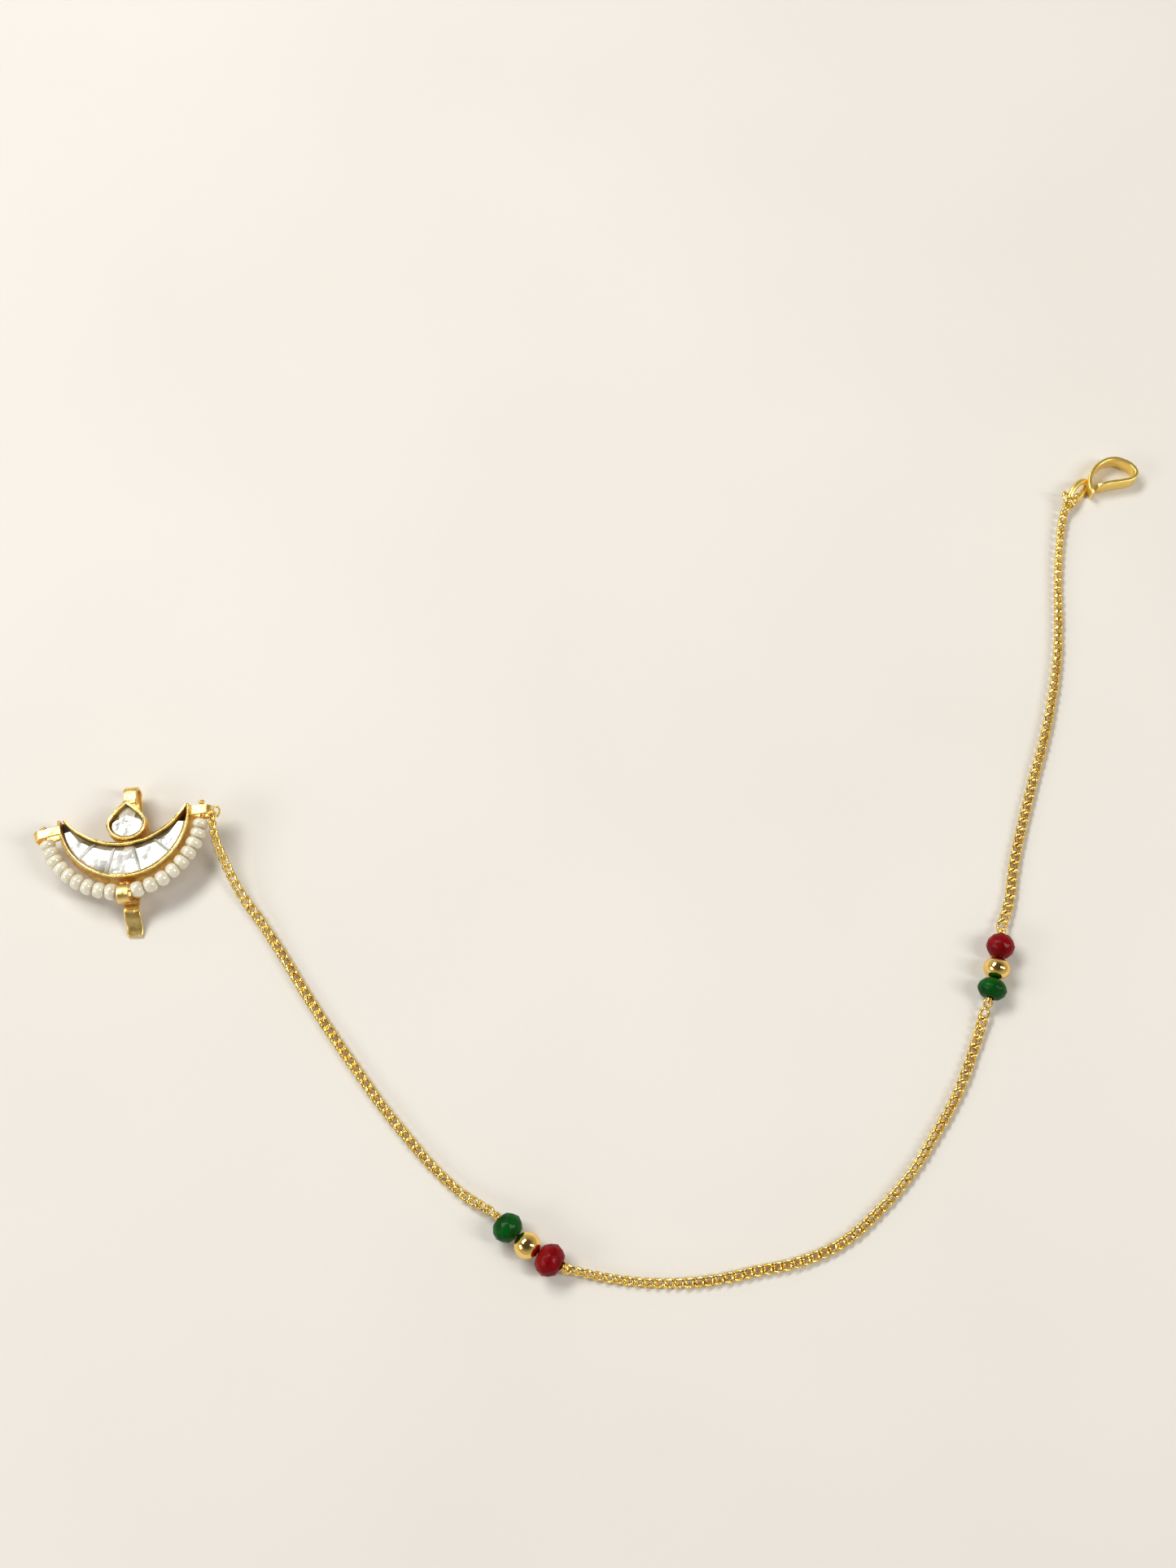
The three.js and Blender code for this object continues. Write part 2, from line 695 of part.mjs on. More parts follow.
const [leftLoop, bottomLoop] = loopTable;
for (const [side, loop, spare] of [['left', leftLoop, 0], ['right', rightLoop, tabLinkRoom]]) {
  pearlRow(bottomLoop, loop, spare).forEach(({ bearing, length }, i) => {
    const pearl = drilledBead(pearlDiameter, length, pearlHole, roundRings, beadSides);
    const mesh = addPiece(crescent, `pearl_${side}_${i + 1}`, pearl, 'pearl');
    mesh.position.copy(onString(bearing));
    mesh.rotation.z = bearing * degrees;
  });
}
addPiece(crescent, 'pearl_wire', toGeometry(pearlWire()), 'wire');

const linkRing = ovalRing(tabLinkHalfLength, tabLinkHalfWidth, tabLinkWire, 16, wireSides);
addPiece(crescent, 'tab_link', toGeometry(toSolid(linkRing, tabLinkPlace())), 'gold');

for (const group of beadGroups) {
  const { centres } = beadPlaces(group);
  group.beads.forEach((bead, i) => {
    const rings = bead.finish === 'gold' ? roundRings : facetRings;
    const sides = bead.finish === 'gold' ? beadSides : facetSides;
    const mesh = addPiece(
      model, bead.name, drilledBead(bead.diameter, bead.length, beadHole, rings, sides), bead.finish);
    const { point, heading } = onPin(group, centres[i]);
    mesh.position.copy(point);
    mesh.rotation.z = heading - Math.PI / 2;
  });
  addPiece(model, `bead_pin_${group.number}`, toGeometry(beadPin(group)), 'wire');
}

// Each chain runs from the crescent's link or a pin's eye to the next eye
model.updateMatrixWorld(true);
const besidePearls = stringRadius + (pearlDiameter + chainDiameter) / 2 + pieceGap - tabLinkReach;
const linkEnd = new THREE.Vector3(tabLinkHalfLength + tabLinkWire + pieceGap / 2, besidePearls, 0);
const chainStart = linkEnd.applyMatrix4(tabLinkPlace()).applyMatrix4(crescent.matrixWorld);
const restHeight = chainDiameter / 2;
const onRoute = ([x, y, rise]) => new THREE.Vector3(x, y, restHeight + rise);
const turn = hookEyeTurn * degrees;
const eyeReach = hookEyeHalfLength + hookWire + pieceGap;
const hookMeeting = new THREE.Vector3(
  hookX - eyeReach * Math.cos(turn), hookY - eyeReach * Math.sin(turn), restHeight);
const [firstGroup, secondGroup] = beadGroups;
const chainEnds = {
  upper_chain: [chainStart, pinEyeEdge(firstGroup, -1)],
  middle_chain: [pinEyeEdge(firstGroup, 1), pinEyeEdge(secondGroup, -1)],
  end_chain: [pinEyeEdge(secondGroup, 1), hookMeeting],
};
for (const [name, [start, end]] of Object.entries(chainEnds)) {
  addPiece(model, name, chainTube([start, ...chainRoutes[name].map(onRoute), end]), 'gold');
}
addPiece(model, 'hair_hook', hairHook(), 'gold');

// The origin is at the middle of the model's footprint, on the table
model.updateMatrixWorld(true);
const extent = new THREE.Box3().setFromObject(model, true);
const middle = extent.getCenter(new THREE.Vector3());
const nath = new THREE.Group();
model.position.set(-middle.x, -middle.y, -extent.min.z);
nath.add(model);

export default nath;
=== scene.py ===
# Nath nose ring as it lies on a table: pearls, stones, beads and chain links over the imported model

import math
import random

import bmesh
import bpy
from mathutils import Matrix, Vector, geometry, noise


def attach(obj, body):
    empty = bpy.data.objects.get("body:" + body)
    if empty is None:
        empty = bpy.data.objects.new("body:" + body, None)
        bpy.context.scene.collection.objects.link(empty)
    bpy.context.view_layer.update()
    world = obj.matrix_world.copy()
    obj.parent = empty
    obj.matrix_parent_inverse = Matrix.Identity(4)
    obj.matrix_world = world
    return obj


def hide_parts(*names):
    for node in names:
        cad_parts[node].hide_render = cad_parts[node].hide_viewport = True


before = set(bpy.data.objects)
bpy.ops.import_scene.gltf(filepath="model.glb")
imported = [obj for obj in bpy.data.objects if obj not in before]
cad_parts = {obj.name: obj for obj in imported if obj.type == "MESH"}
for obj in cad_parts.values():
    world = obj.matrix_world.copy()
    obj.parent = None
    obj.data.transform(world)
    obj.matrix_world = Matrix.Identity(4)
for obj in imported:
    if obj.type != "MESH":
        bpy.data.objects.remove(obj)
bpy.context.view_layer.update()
scene = bpy.context.scene
inMetres = Matrix.Scale(0.001, 4)   # shapes are drawn in millimetres
noise.seed_set(1)                   # the same unevenness in every run

# Camera and stage

cameraView = {
    "place": (-0.00224929, -0.07412032, 0.225),
    "tilt": 20,          # degrees from straight down
    "focal": 46.705,     # millimetres, on a 36 mm sensor's long side
}

cameraData = bpy.data.cameras.new("camera")
cameraData.lens = cameraView["focal"]
cameraData.sensor_width = 36
cameraData.clip_start = 0.01
cameraData.clip_end = 10
camera = bpy.data.objects.new("camera", cameraData)
camera.location = cameraView["place"]
camera.rotation_euler = (math.radians(cameraView["tilt"]), 0, 0)
scene.collection.objects.link(camera)
scene.camera = camera
scene.view_settings.view_transform = "Standard"

softLights = [
    # name, place, width and depth, watts, colour
    ("windowLight", (-0.28, 0.24, 0.5), (0.4, 0.17), 2.75, (1.0, 0.99, 0.965)),
    ("sideLight", (0.39, -0.1, 0.43), (0.1, 0.32), 1.3, (1.0, 0.975, 0.94)),
    ("lowLight", (-0.5, -0.2, 0.3), (0.3, 0.2), 0.75, (0.97, 0.98, 1.0)),
]

for lightName, place, size, watts, colour in softLights:
    lightData = bpy.data.lights.new(lightName, "AREA")
    lightData.shape = "RECTANGLE"
    lightData.size, lightData.size_y = size
    lightData.energy = watts
    lightData.color = colour
    light = bpy.data.objects.new(lightName, lightData)
    light.location = place
    light.rotation_euler = (-Vector(place)).to_track_quat("-Z", "Y").to_euler()
    scene.collection.objects.link(light)

# The room: pale walls low down, a dim ceiling straight above
world = bpy.data.worlds.new("room")
world.use_nodes = True
roomNodes, roomLinks = world.node_tree.nodes, world.node_tree.links
skyward = roomNodes.new("ShaderNodeSeparateXYZ")
roomLinks.new(roomNodes.new("ShaderNodeTexCoord").outputs["Generated"], skyward.inputs[0])
roomTone = roomNodes.new("ShaderNodeValToRGB")
roomLinks.new(skyward.outputs["Z"], roomTone.inputs["Fac"])
roomTone.color_ramp.elements[0].position = 0.35
roomTone.color_ramp.elements[0].color = (0.62, 0.60, 0.56, 1)
roomTone.color_ramp.elements[1].position = 0.85
roomTone.color_ramp.elements[1].color = (0.10, 0.085, 0.07, 1)
roomLinks.new(roomTone.outputs["Color"], roomNodes["Background"].inputs["Color"])
roomNodes["Background"].inputs["Strength"].default_value = 0.8
scene.world = world

print("camera and lights made")

# Materials


def newMaterial(name):
    # a material, its tree and shader, and Object coordinates in millimetres
    material = bpy.data.materials.new(name)
    material.use_nodes = True
    tree = material.node_tree
    coordinates = tree.nodes.new("ShaderNodeTexCoord")
    place = tree.nodes.new("ShaderNodeMapping")
    place.inputs["Scale"].default_value = (1000, 1000, 1000)
    tree.links.new(coordinates.outputs["Object"], place.inputs["Vector"])
    return material, tree, tree.nodes["Principled BSDF"], place.outputs[0]


def addNode(tree, kind, inputs, **settings):
    node = tree.nodes.new(kind)
    for key, value in settings.items():
        setattr(node, key, value)
    feed(tree, node, inputs)
    return node


def feed(tree, node, inputs):
    for key, value in inputs.items():
        if isinstance(value, bpy.types.NodeSocket):
            tree.links.new(value, node.inputs[key])
        else:
            node.inputs[key].default_value = value


def noiseFac(tree, place, scale, detail=3, roughness=0.5):
    inputs = {"Vector": place, "Scale": scale, "Detail": detail, "Roughness": roughness}
    return addNode(tree, "ShaderNodeTexNoise", inputs).outputs["Fac"]


def colourRamp(tree, factor, stops):
    node = addNode(tree, "ShaderNodeValToRGB", {"Fac": factor})
    points = node.color_ramp.elements
    while len(points) < len(stops):
        points.new(0.5)
    for point, (position, colour) in zip(points, stops):
        point.position = position
        point.color = (*colour, 1)
    return node.outputs["Color"]


def spread(tree, factor, low, high):
    # most values of a noise lie from 0.3 to 0.7: they are spread from low to high
    inputs = {"Value": factor, "From Min": 0.3, "From Max": 0.7, "To Min": low, "To Max": high}
    return addNode(tree, "ShaderNodeMapRange", inputs).outputs["Result"]


def bump(tree, height, strength, distance, normal=None):
    inputs = {"Strength": strength, "Distance": distance, "Height": height}
    if normal:
        inputs["Normal"] = normal
    return addNode(tree, "ShaderNodeBump", inputs).outputs["Normal"]


goldFinishes = {
    # colour, a darker colour in random patches, roughness from and to, fine grain, shallow dents
    "settingGold": ((0.86, 0.55, 0.15), (0.62, 0.33, 0.06), (0.34, 0.55), 0.6, 0.5),
    # partly real polish, partly painted highlight: a brighter copy of the setting's gold for the rims' tops
    "rimPolishAndPaintedHighlight": ((1.0, 0.83, 0.40), (0.96, 0.72, 0.26), (0.22, 0.34), 0.12, 0.1),
    "stripGold": ((0.96, 0.71, 0.27), (0.82, 0.54, 0.14), (0.26, 0.4), 0.16, 0.16),
    "solderGold": ((0.86, 0.56, 0.22), (0.66, 0.36, 0.10), (0.3, 0.5), 0.6, 0.5),
    "polishedGold": ((1.0, 0.77, 0.28), (0.94, 0.65, 0.16), (0.1, 0.22), 0.06, 0.06),
    "hookGold": ((1.0, 0.79, 0.27), (0.98, 0.69, 0.17), (0.3, 0.42), 0.03, 0.08),
    "ballGold": ((0.99, 0.69, 0.22), (0.92, 0.57, 0.13), (0.06, 0.13), 0.02, 0.03),
    "goldWire": ((0.94, 0.68, 0.26), (0.76, 0.48, 0.12), (0.16, 0.32), 0.2, 0.12),
}


def goldMaterial(name, colour, darkerTone, roughness, grainBump, dentBump):
    material, tree, shader, place = newMaterial(name)
    patches = noiseFac(tree, place, 1.1, 4, 0.55)
    grain = noiseFac(tree, place, 8, 5, 0.65)
    dents = noiseFac(tree, place, 2.2, 2, 0.4)
    relief = bump(tree, dents, dentBump, 0.0003)
    relief = bump(tree, grain, grainBump, 0.00006, relief)
    feed(tree, shader, {
        "Base Color": colourRamp(tree, patches, [(0.36, darkerTone), (0.58, colour)]),
        "Metallic": 1.0,
        "Roughness": spread(tree, grain, *roughness),
        "Normal": relief,
    })
    return material


def pearlMaterial():
    material, tree, shader, place = newMaterial("pearlLustre")
    clouds = noiseFac(tree, place, 0.9, 3)
    skin = noiseFac(tree, place, 7, 3)
    creams = [(0.3, (0.68, 0.61, 0.43)), (0.5, (0.81, 0.76, 0.59)), (0.72, (0.88, 0.84, 0.69))]
    feed(tree, shader, {
        "Base Color": colourRamp(tree, clouds, creams),
        "Roughness": spread(tree, skin, 0.2, 0.34),
        "Specular IOR Level": 0.7,
        "Normal": bump(tree, skin, 0.1, 0.00004),
        "Subsurface Weight": 0.12,
        "Subsurface Scale": 0.0006,
        "Coat Weight": 1.0,
        "Coat Roughness": 0.035,
        "Coat IOR": 1.85,
    })
    return material


def glassBeadMaterial(name, deep, bright):
    material, tree, shader, place = newMaterial(name)
    clouds = noiseFac(tree, place, 0.8, 4)
    wear = noiseFac(tree, place, 12, 3)
    feed(tree, shader, {
        "Base Color": colourRamp(tree, clouds, [(0.3, deep), (0.7, bright)]),
        "Roughness": spread(tree, wear, 0.3, 0.44),
        "Normal": bump(tree, wear, 0.06, 0.00003),
        "Specular IOR Level": 0.07,
        "Coat Weight": 0.09,
        "Coat Roughness": 0.03,
    })
    return material


def stoneMaterial(name, light, middle, dark, metal):
    # clear stone over crumpled silver foil: folds and cracks below, smooth gloss above. The folds' dark and
    # light patches in the base colour are partly the foil's own tone and partly painted reflection
    material, tree, shader, place = newMaterial(name)
    cells = addNode(
        tree, "ShaderNodeTexVoronoi", {"Vector": place, "Scale": 0.9}, feature="DISTANCE_TO_EDGE")
    folds = noiseFac(tree, place, 0.3, 3, 0.4)
    relief = bump(tree, folds, 0.6, 0.0006)
    relief = bump(tree, cells.outputs["Distance"], 0.25, 0.0001, relief)
    feed(tree, shader, {
        "Base Color": colourRamp(tree, folds, [(0.33, dark), (0.44, middle), (0.53, light)]),
        "Metallic": metal,
        "Roughness": spread(tree, folds, 0.12, 0.26),
        "Normal": relief,
        "Coat Weight": 1.0,
        "Coat Roughness": 0.02,
    })
    return material


# painted shade: a near-black brown sheet stands in for the shade in the stones' pockets, seen in the voids
# at the crescent's tips
def pocketShadeMaterial():
    material, tree, shader, place = newMaterial("pocketShade")
    lumps = noiseFac(tree, place, 2.4, 4)
    feed(tree, shader, {
        "Base Color": colourRamp(tree, lumps, [(0.3, (0.012, 0.007, 0.003)), (0.7, (0.06, 0.035, 0.015))]),
        "Roughness": spread(tree, lumps, 0.5, 0.75),
        "Normal": bump(tree, lumps, 0.5, 0.0002),
    })
    return material


def tableMaterial():
    material, tree, shader, place = newMaterial("paleTable")
    clouds = noiseFac(tree, place, 0.02, 2)
    grain = noiseFac(tree, place, 2.2, 3)
    feed(tree, shader, {
        "Base Color": colourRamp(tree, clouds, [(0.3, (0.76, 0.735, 0.685)), (0.7, (0.79, 0.765, 0.715))]),
        "Roughness": 0.85,
        "Normal": bump(tree, grain, 0.08, 0.0001),
    })
    return material


settingGold, rimPolishAndPaintedHighlight, stripGold, solderGold, polishedGold, hookGold, ballGold, goldWire = [
    goldMaterial(name, *values) for name, values in goldFinishes.items()]
pearlLustre = pearlMaterial()
greenGlass = glassBeadMaterial("greenGlass", (0.0003, 0.03, 0.002), (0.0006, 0.1, 0.006))
redGlass = glassBeadMaterial("redGlass", (0.12, 0.0, 0.001), (0.26, 0.0004, 0.003))
clearStone = stoneMaterial("clearStone", (0.95, 0.96, 0.93), (0.76, 0.78, 0.73), (0.38, 0.40, 0.34), 0.5)
stoneEdge = stoneMaterial("stoneEdge", (0.90, 0.90, 0.87), (0.74, 0.74, 0.69), (0.46, 0.46, 0.38), 0.0)
# painted shade: a dark copy of the stone for the slopes in the upper wall's shadow
paintedStoneShade = stoneMaterial("paintedStoneShade", (0.38, 0.39, 0.31), (0.18, 0.18, 0.12), (0.05, 0.045, 0.03), 0.4)
pocketShade = pocketShadeMaterial()

print("materials made")

# Making pieces


def finishPiece(shape, name, place, materials, nodes=(), sharp=40, merge=0.004):
    if merge:
        bmesh.ops.remove_doubles(shape, verts=shape.verts, dist=merge)
    bmesh.ops.recalc_face_normals(shape, faces=shape.faces)
    bmesh.ops.transform(shape, matrix=place, verts=shape.verts)
    mesh = bpy.data.meshes.new(name)
    shape.to_mesh(mesh)
    shape.free()
    for material in materials:
        mesh.materials.append(material)
    mesh.shade_smooth()
    mesh.set_sharp_from_angle(angle=math.radians(sharp))
    piece = bpy.data.objects.new(name, mesh)
    scene.collection.objects.link(piece)
    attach(piece, "root")
    if nodes:
        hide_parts(*nodes)
    return piece


def spinRound(shape, axis, steps):
    # all that is drawn so far takes a full turn and closes on itself
    drawn = shape.verts[:] + shape.edges[:]
    bmesh.ops.spin(
        shape, geom=drawn, cent=(0, 0, 0), axis=axis, angle=2 * math.pi, steps=steps, use_merge=True)


def onlyVerts(geom):
    return [item for item in geom if isinstance(item, bmesh.types.BMVert)]


def cornerEdges(shape):
    # the edges where two faces meet at more than a radian
    return [edge for edge in shape.edges if len(edge.link_faces) == 2 and edge.calc_face_angle(0) > 1]


def bevelEdges(shape, edges, offset, segments):
    bmesh.ops.bevel(
        shape, geom=edges, offset=offset, segments=segments, profile=0.5, affect="EDGES", material=-1)


def polyline(shape, points):
    corners = [shape.verts.new(point) for point in points]
    return corners + [shape.edges.new(pair) for pair in zip(corners, corners[1:])]


def curveMesh(points, fineness, thickness=0, closed=False, sides=2):
    # a soft curve through a few points, bare or as round wire
    curveData = bpy.data.curves.new("line", "CURVE")
    curveData.dimensions = "3D"
    curveData.bevel_depth = thickness
    curveData.bevel_resolution = sides
    curveData.use_fill_caps = True
    spline = curveData.splines.new("BEZIER")
    spline.bezier_points.add(len(points) - 1)
    spline.resolution_u = fineness
    spline.use_cyclic_u = closed
    for knot, point in zip(spline.bezier_points, points):
        knot.co = point
        knot.handle_left_type = knot.handle_right_type = "AUTO"
    holder = bpy.data.objects.new("line", curveData)
    mesh = bpy.data.meshes.new_from_object(holder)
    bpy.data.objects.remove(holder)
    bpy.data.curves.remove(curveData)
    return mesh


def softLine(points, fineness):
    mesh = curveMesh(points, fineness)
    line = [vertex.co.copy() for vertex in mesh.vertices]
    bpy.data.meshes.remove(mesh)
    return line


def addWire(shape, points, radius, fineness, closed=False, sides=2):
    mesh = curveMesh(points, fineness, radius, closed, sides)
    shape.from_mesh(mesh)
    bpy.data.meshes.remove(mesh)


def coilPoints(radius, rise, turns, start):
    # a coil about the X axis
    perTurn = 8
    points = []
    for i in range(int(turns * perTurn) + 1):
        turn = start + 2 * math.pi * i / perTurn
        points.append((rise * i / perTurn, radius * math.cos(turn), radius * math.sin(turn)))
    return points


def moved(points, place):
    return [place @ Vector(point) for point in points]


tableTop = bmesh.new()
bmesh.ops.create_grid(tableTop, x_segments=8, y_segments=8, size=3)
tableMesh = bpy.data.meshes.new("table")
tableTop.to_mesh(tableMesh)
tableTop.free()
tableMesh.materials.append(tableMaterial())
table = bpy.data.objects.new("table", tableMesh)
scene.collection.objects.link(table)

# The two places that shapes are drawn in: the whole layout, and the crescent as it leans there
layoutPlace = inMetres @ Matrix.Translation((-0.24929, -0.12032, 0))
crescentPlace = (
    inMetres @ Matrix.Translation((-55.64929, 2.69968, 1.61641))
    @ Matrix.Rotation(math.radians(5.5), 4, "Z") @ Matrix.Rotation(math.radians(-2), 4, "Y"))

# Pearls

pearls = {
    "diameter": 1.88,
    "sizes": (0.97, 1.03),    # least and greatest share of the diameter
    "rings": 7,
    "steps": 20,
    "fullness": (0.62, 0.8),  # powers that round the outline out, outwards and lengthwise
    "shoulder": 0.3,          # least share of the radius for a ring
    "hole": 0.2,              # share of the radius
    "mouth": 0.99,            # share of the half length where the hole opens
    "unevenness": 0.03,
    "tip": 3,                 # degrees, at most
    "perSide": 9,
    "taper": 0.17,            # how much longer than the mean the first pearl is, and shorter the last
    "stringRadius": 9.12,
    "stringX": -0.22,
    "stringHeight": 1.55,
    # side: bearing and width of the loop where the row starts and of the one where it ends, spare wire
    "rows": {"left": (269.8, 1.42, 190.1, 1.05, 0), "right": (269.8, 1.42, 357, 1.15, 0.3)},
    "seeds": {"left": 20, "right": 40},
}


def onString(bearing):
    x, y = math.cos(math.radians(bearing)), math.sin(math.radians(bearing))
    radius = pearls["stringRadius"]
    return Vector((pearls["stringX"] + radius * x, radius * y, pearls["stringHeight"]))


def alongString(length):
    return math.degrees(length / pearls["stringRadius"])


def makePearl(name, bearing, length, seed):
    pick = random.Random(seed)
    radius = pearls["diameter"] / 2 * pick.uniform(*pearls["sizes"])
    outward, lengthwise = pearls["fullness"]
    rings = pearls["rings"]
    profile = [(pearls["hole"], -pearls["mouth"])]
    for i in range(rings):   # the first and last ring lie a little nearer to the mouths
        turn = math.pi * (i + 0.75) / (rings + 0.5)
        out = max(math.sin(turn) ** outward, pearls["shoulder"])
        profile.append((out, -math.copysign(abs(math.cos(turn)) ** lengthwise, math.cos(turn))))
    profile.append((pearls["hole"], pearls["mouth"]))
    shape = bmesh.new()
    ends = polyline(shape, [(out * radius, along * length / 2, 0) for out, along in profile])
    shape.edges.new((ends[0], ends[rings + 1]))
    spinRound(shape, (0, 1, 0), pearls["steps"])
    for vertex in shape.verts:   # a seed pearl is a little uneven
        vertex.co.x *= 1 + pearls["unevenness"] * math.sin(seed + 2.3 * vertex.co.z)
        vertex.co.y *= 1 + pearls["unevenness"] * math.sin(1.7 * seed + 2.1 * vertex.co.x)
    lie = Matrix.Translation(onString(bearing)) @ Matrix.Rotation(math.radians(bearing), 4, "Z")
    tip = Matrix.Rotation(math.radians(pick.uniform(-pearls["tip"], pearls["tip"])), 4, "X")
    finishPiece(shape, "seed_" + name, crescentPlace @ lie @ tip, [pearlLustre], [name])


for side, (fromBearing, fromWidth, toBearing, toWidth, spare) in pearls["rows"].items():
    way = math.copysign(1, toBearing - fromBearing)
    start = fromBearing + way * alongString(fromWidth / 2)
    end = toBearing - way * alongString(toWidth / 2 + spare)
    meanPitch = (end - start) / pearls["perSide"]
    reached = start
    for i in range(pearls["perSide"]):
        pitch = meanPitch * (1 + pearls["taper"] * (1 - 2 * i / (pearls["perSide"] - 1)))
        reached += pitch
        length = abs(math.radians(pitch)) * pearls["stringRadius"]
        makePearl(f"pearl_{side}_{i + 1}", reached - pitch / 2, length, pearls["seeds"][side] + i)

print("pearls made")

# Crescent setting: walls, back plate, drop cup, clip, folded strips and solder

setting = {
    "outerRadius": 7.6,
    "innerRadius": 8.4,       # about a centre above the crescent's own
    "innerRise": 5.0,
    "outerBearings": (-89.5, 93.8),   # from the bottom, positive to the right
    "innerBearings": (-53.4, 57.9),
    "height": 2.4,
    "foot": 0.25,
    "wall": 0.32,
    "flare": 0.36,            # how far the outer wall spreads at its foot
    "innerFlare": 0.06,
    # the band below holds the painted highlight on the rims' tops
    "rimHighlightBand": 0.12,          # how far down from the height the brighter finish reaches
    "steps": 72,
    "unevenness": 0.045,
}

crescentSheets = {
    # beyond the outer and the inner radius, top, thickness, unevenness, its size and seed
    "back": (setting["flare"] * 0.8, 0.05, 0.62, 0.62, 0.03, 1.5, 9),
    "pocket": (-0.2, 0.2, 1.17, 0.6, 0.03, 0.8, 5),
}


def unevenly(shape, amount, size, seed):
    # hand-made metal: every point moves a little, neighbours together
    for vertex in shape.verts:
        vertex.co += amount * noise.noise_vector(vertex.co / size + Vector((seed, 0, 0)))


def rimProfile(radius, outward, flare):
    # a wall's section from its outer foot over a rolled double rim to its inner foot
    wall, height, foot = setting["wall"], setting["height"], setting["foot"]
    across = [
        (-flare, foot), (-flare * 0.92, foot + 0.28), (-flare * 0.3, foot + 0.85), (0.0, height - 0.5),
        (-0.035, height - 0.14), (-0.01, height - 0.04), (0.05, height + 0.015), (0.11, height - 0.01),
        (0.165, height - 0.05), (0.22, height - 0.015), (0.275, height + 0.005), (wall, height - 0.05),
        (wall, height - 0.5), (wall + 0.02, 0.6),
    ]
    return [(radius - outward * step, rise) for step, rise in across]


def spunWall(shape, profile, centre, bearings):
    start, end = [math.radians(bearing) for bearing in bearings]
    before = len(shape.verts)
    parts = polyline(shape, [(0, -out, rise) for out, rise in profile])
    parts.append(shape.edges.new((parts[len(profile) - 1], parts[0])))
    corners = parts[:len(profile)]
    bmesh.ops.rotate(shape, verts=corners, cent=(0, 0, 0), matrix=Matrix.Rotation(start, 3, "Z"))
    bmesh.ops.translate(shape, verts=corners, vec=centre)
    bmesh.ops.spin(
        shape, geom=parts, cent=centre, axis=(0, 0, 1), angle=end - start, steps=setting["steps"])
    shape.verts.ensure_lookup_table()
    made = set(shape.verts[before:])
    ends = [edge for edge in shape.edges if edge.is_boundary and edge.verts[0] in made]
    bmesh.ops.holes_fill(shape, edges=ends, sides=0)


def arcEdges(shape, radius, centre, bearings, height, steps=48):
    start, end = [math.radians(bearing) for bearing in bearings]
    x, y = centre[0] + radius * math.sin(start), centre[1] - radius * math.cos(start)
    first = shape.verts.new((x, y, height))
    before = len(shape.edges)
    bmesh.ops.spin(shape, geom=[first], cent=centre, axis=(0, 0, 1), angle=end - start, steps=steps)
    shape.edges.ensure_lookup_table()
    return shape.edges[before:]


def crescentSheet(beyondOuter, beyondInner, top, thickness, unevenness, size, seed, edge=0):
    # the flat crescent between the two walls, given its thickness downwards
    shape = bmesh.new()
    outer = arcEdges(
        shape, setting["outerRadius"] + beyondOuter, outerCentre, setting["outerBearings"], top)
    inner = arcEdges(
        shape, setting["innerRadius"] + beyondInner, innerCentre, setting["innerBearings"], top)
    sheet = bmesh.ops.bridge_loops(shape, edges=outer + inner)["faces"]
    drawn = bmesh.ops.extrude_face_region(shape, geom=sheet, use_keep_orig=True)["geom"]
    bmesh.ops.translate(shape, vec=(0, 0, -thickness), verts=onlyVerts(drawn))
    if edge:
        bevelEdges(shape, cornerEdges(shape), edge, 2)
    unevenly(shape, unevenness, size, seed)
    return shape


def brightenAbove(piece, height):
    # the faces above a height take the piece's second finish: on the walls and the drop cup a brighter gold,
    # partly real polish and partly painted highlight; on the stones the clear table
    back = crescentPlace.inverted()
    for face in piece.data.polygons:
        if (back @ face.center).z > height:
            face.material_index = 1


outerCentre = (0, 0, 0)
innerCentre = (0, setting["innerRise"], 0)
outerProfile = rimProfile(setting["outerRadius"], 1, setting["flare"])
innerProfile = rimProfile(setting["innerRadius"], -1, setting["innerFlare"])

walls = bmesh.new()
spunWall(walls, outerProfile, outerCentre, setting["outerBearings"])
spunWall(walls, innerProfile, innerCentre, setting["innerBearings"])
unevenly(walls, setting["unevenness"], 1.1, 3)
crescentWalls = finishPiece(
    walls, "crescent_walls", crescentPlace, [settingGold, rimPolishAndPaintedHighlight], ["crescent_frame"],
    sharp=50)
# painted highlight, partly real polish: the rim's top band takes the brighter gold
brightenAbove(crescentWalls, setting["height"] - setting["rimHighlightBand"])

backSheet = crescentSheet(*crescentSheets["back"], edge=0.1)
finishPiece(backSheet, "back_plate", crescentPlace, [settingGold])

# painted shade: the dark sheet under the stones, showing in the voids at the tips
pocketSheet = crescentSheet(*crescentSheets["pocket"])
finishPiece(pocketSheet, "pocket_floor", crescentPlace, [pocketShade])

drop = {
    "width": 4.6,
    "tip": 2.9,               # above the widest line
    "belly": 1.9,             # below it
    "tipInset": 1.35,         # how much faster than the sides the tip moves inwards
    "x": 0.33,
    "y": -1.22,
    # (inset, height) from the outer foot over a rolled double rim to the inner foot
    "section": [
        (-0.1, 0.7), (-0.09, 1.0), (-0.02, 1.5), (0, 1.95), (-0.03, 2.28), (0.0, 2.38), (0.06, 2.42),
        (0.12, 2.39), (0.17, 2.35), (0.22, 2.39), (0.28, 2.4), (0.33, 2.34), (0.34, 1.9), (0.36, 1.2)],
}


